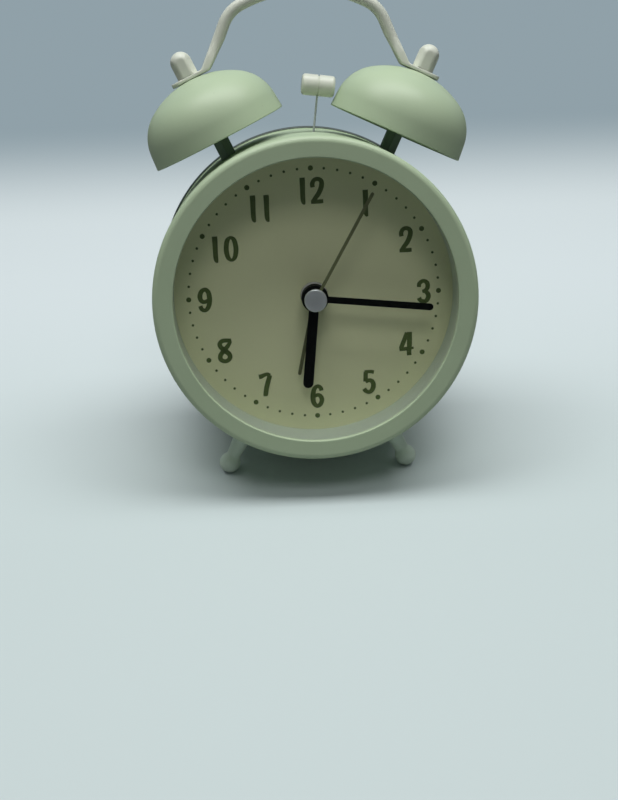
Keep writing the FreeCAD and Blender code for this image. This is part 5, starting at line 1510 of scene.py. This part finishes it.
# ---------------- back of the clock
@dataclass
class Back:
    """Rear cover, battery door, knobs, switch and screws."""

    knob_x: float = 20.0
    knob: Place = (6.5, 36.6, 41.6)
    knob_edge: float = 0.7
    recess: float = 0.35
    recess_edge: Place = (4.3, 4.6, 0.05)
    flutes: int = 14
    flute_facets: int = 14
    flute: Spot = (0.9, 0.4)
    refined: tuple[tuple[str, str, Finish, float], ...] = (
        ("rear_cover", "case", MINT_MOULDING, 0.2), ("battery_door", "door", MINT_MOULDING, 0.12),
        ("alarm_switch", "switch", CREAM_MOULDING, 0.15), ("cover_screws", "case", ZINC, 0.12))

    def build(self) -> None:
        """Ease the moulded pieces' edges and turn the knobs."""
        for node, body, finish, width in self.refined:
            Piece(f"{node}_eased", finish, node, body).place(ease_edges(merged_solid(node), width))
        for side, name in ((Side.LEFT, "time"), (Side.RIGHT, "alarm")):
            Piece(f"{name}_knob_fluted", CREAM_MOULDING, f"{name}_knob", f"{name}_setter").place(
                self.fluted(), shift(side.value * self.knob_x, 0, 0))

    def fluted(self) -> BMesh:
        """Turned knob with a rounded rim and a shallow face recess, its side drawn in to hollow flutes.

        Returns:
            The knob round Y.
        """
        (radius, front, back), (cut, out), edge = self.knob, self.flute, self.knob_edge
        floor, wall, bend = self.recess_edge
        knob = Turning(0, back - self.recess).line((floor, back - self.recess), (wall, back - bend))
        knob.arc((wall + bend, back - bend), -90, 2).line((radius - edge, back))
        knob.arc((radius - edge, back - edge), -90, 5).line((radius, front), (0, front))
        bm = knob.spun(self.flutes * self.flute_facets)
        reach, pitch = radius + out, 2 * pi / self.flutes
        for vert in bm.verts:
            angle = (atan2(vert.co.z, vert.co.x) + pitch / 2) % pitch - pitch / 2
            across = reach * sin(angle)
            if abs(across) < cut:
                limit = reach * cos(angle) - sqrt(cut ** 2 - across ** 2)
                share = min(1.0, limit / max(hypot(vert.co.x, vert.co.z), 1e-6))
                vert.co.x, vert.co.z = vert.co.x * share, vert.co.z * share
        return bm


# ---------------- pieces that keep their solids
@dataclass
class Works:
    """Nodes whose solids stay: the movement, the ringer and the battery."""

    merge: float = 2e-6
    crease: float = 32.0
    finishes: tuple[tuple[Finish, tuple[str, ...]], ...] = (
        (ZINC, ("inner_nuts", "bell_studs", "hammer_pivot", "ringer_frame", "ringer_yoke", "stator",
                "quartz_crystal", "battery_spring", "battery_contact")),
        (BLACKENED, ("hammer_magnet",)), (BRASS, ("hammer_hub", "alarm_contact")),
        (COPPER, ("ringer_coil", "stepper_coil")), (BLACK_MOULDING, ("movement_cover", "dial_plate")),
        (SOLDER_MASK, ("circuit_board",)), (CELL_FILM, ("battery_cell",)))

    def build(self) -> None:
        """Dress every node that no piece stands for."""
        chosen = {name: finish for finish, names in self.finishes for name in names}
        for name, node in frame["nodes"].items():
            if node.hide_render:
                continue
            finish = chosen.get(name, WHITE_MOULDING)
            node.data.materials.clear()
            node.data.materials.append(finish.material())
            node.data.shade_smooth()
            node.modifiers.new("joined_edges", "WELD").merge_threshold = self.merge
            split = node.modifiers.new("crisp_edges", "EDGE_SPLIT")
            split.split_angle, split.use_edge_sharp = radians(self.crease), False
            LOG.info("%s keeps its solid, in %s", name, finish.name)


# ---------------- studio
@dataclass
class Studio:
    """Pale floor, one wide soft light overhead and a weaker one in front, and the camera.

    Spans are in metres from the middle of the floor.
    """

    floor_radius: float = 40.0
    floor_roughness: float = 0.75
    near: Colour = (0.60, 0.69, 0.69)
    beyond: Colour = (0.71, 0.79, 0.81)
    beyond_span: Spot = (-0.06, 0.14)
    bounce: Colour = (0.36, 0.40, 0.385)
    bounce_far: Colour = (0.12, 0.132, 0.127)
    bounce_span: Spot = (0.06, 0.26)
    far: Colour = (0.28, 0.355, 0.395)
    far_span: Spot = (0.19, 0.36)
    far_reach: Spot = (0.7, 2.2)
    front: Colour = (0.012, 0.014, 0.015)
    front_span: Spot = (-0.1, 0.5)
    fill: Colour = (0.90, 0.97, 1.0)
    fill_strength: float = 0.098
    lights: tuple[tuple[str, Spot, Place, float, bool], ...] = (
        ("overhead_softbox", (1.2, 0.42), (0.0, 0.065, 1.0), 9.7, True),
        ("front_softbox", (0.45, 0.33), (0.02, -0.485, 0.95), 1.75, False))
    camera_spot: Place = (-14.79, -327.56, 58.35)
    camera_turn: Place = (-2.1706, 74.747, -1.789)
    lens: float = 52.244
    sensor: float = 36.0
    clip: Spot = (0.01, 200.0)

    def build(self) -> None:
        """Build the floor, the surroundings, the light and the camera."""
        self.floor()
        self.surroundings()
        self.light()
        self.camera()

    def floor(self) -> None:
        """Wide disc whose colour runs from pale near the clock to blue-grey far away: to the camera it is
        painted lighter just behind the clock, a painted pool of light, and far off it glows blue-grey as
        painted shade of the distant floor.
        """
        bm = bmesh.new()
        bmesh.ops.create_circle(bm, cap_ends=True, segments=96, radius=self.floor_radius)
        floor = thing_of("studio_floor", bm)
        material, net = new_material("studio_paper")
        seen = net.add("LightPath").outputs["Is Camera Ray"]
        spot = net.add("TexCoord").outputs["Object"]
        reach = net.add("VectorMath", operation="LENGTH", Vector=spot).outputs["Value"]
        depth = net.part(spot, "Y")
        # painted light: to the camera the floor turns lighter behind the clock, a painted pool of light
        paper = net.blend(net.spread(depth, self.beyond_span), self.near, self.beyond)
        bounced = net.blend(net.spread(reach, self.bounce_span), self.bounce, self.bounce_far)
        net.feed(net.shader, Roughness=self.floor_roughness, Base_Color=net.blend(seen, bounced, paper))
        # painted shade: far off, the floor glows an even blue-grey to the camera and near-black to other
        # rays, in place of the shade of the distant floor
        tone = net.sum("MAXIMUM", net.spread(depth, self.far_span), net.spread(reach, self.far_reach))
        glow = net.add("Emission", Color=net.blend(seen, self.front, self.far), Strength=1.0)
        net.show(tone, net.shader, glow)
        floor.data.materials.append(material)

    def surroundings(self) -> None:
        """Blue-grey to the eye and in reflections, a weak pale fill for the surfaces."""
        world = bpy.data.worlds.new("studio_air")
        bpy.context.scene.world = world
        world.use_nodes = True
        net = Wiring(world.node_tree)
        path = net.add("LightPath").outputs
        seen = net.sum("MAXIMUM", path["Is Camera Ray"], path["Is Glossy Ray"])
        seen = net.sum("MAXIMUM", seen, path["Is Transmission Ray"])
        fill = world.node_tree.nodes["Background"]
        net.feed(fill, Color=self.fill, Strength=self.fill_strength)
        way = net.part(net.add("TexCoord").outputs["Generated"], "Y")
        behind = net.sum("MAXIMUM", net.spread(way, self.front_span),
                         net.sum("SUBTRACT", 1.0, path["Is Glossy Ray"]))
        shown = net.add("Background", Color=net.blend(behind, self.front, self.far), Strength=1.0)
        net.show(seen, fill, shown)

    def light(self) -> None:
        """Soft lights above the clock, all shining straight down."""
        for name, size, spot, power, glossy in self.lights:
            data = bpy.data.lights.new(name, "AREA")
            data.shape, data.energy = "RECTANGLE", power
            data.size, data.size_y = size
            light = linked(name, data)
            light.location, light.visible_glossy = spot, glossy

    def camera(self) -> None:
        """Camera in front of the clock, a little above and to the left."""
        data = bpy.data.cameras.new("studio_camera")
        data.lens, data.sensor_width, data.sensor_fit = self.lens, self.sensor, "AUTO"
        data.clip_start, data.clip_end = self.clip
        yaw, pitch, roll = self.camera_turn
        place = CLOCK @ shift(*self.camera_spot) @ turn(yaw, "Z") @ turn(pitch, "X") @ turn(roll, "Z")
        spot, rotation, _ = place.decompose()
        camera = bpy.context.scene.camera = linked("studio_camera", data)
        camera.matrix_world = Matrix.Translation(spot) @ rotation.to_matrix().to_4x4()


def main() -> None:
    """Build every part of the clock in order."""
    logging.basicConfig(level=logging.INFO, format="%(name)s: %(message)s")
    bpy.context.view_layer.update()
    bpy.context.scene.view_settings.view_transform = "Standard"
    for part in (Studio(), Case(), Dial(), Bells(), Handle(), Hammer(), Legs(), Hands(), Back(), Works()):
        part.build()
        LOG.info("%s is done", type(part).__name__)


if __name__ == "__main__":
    main()
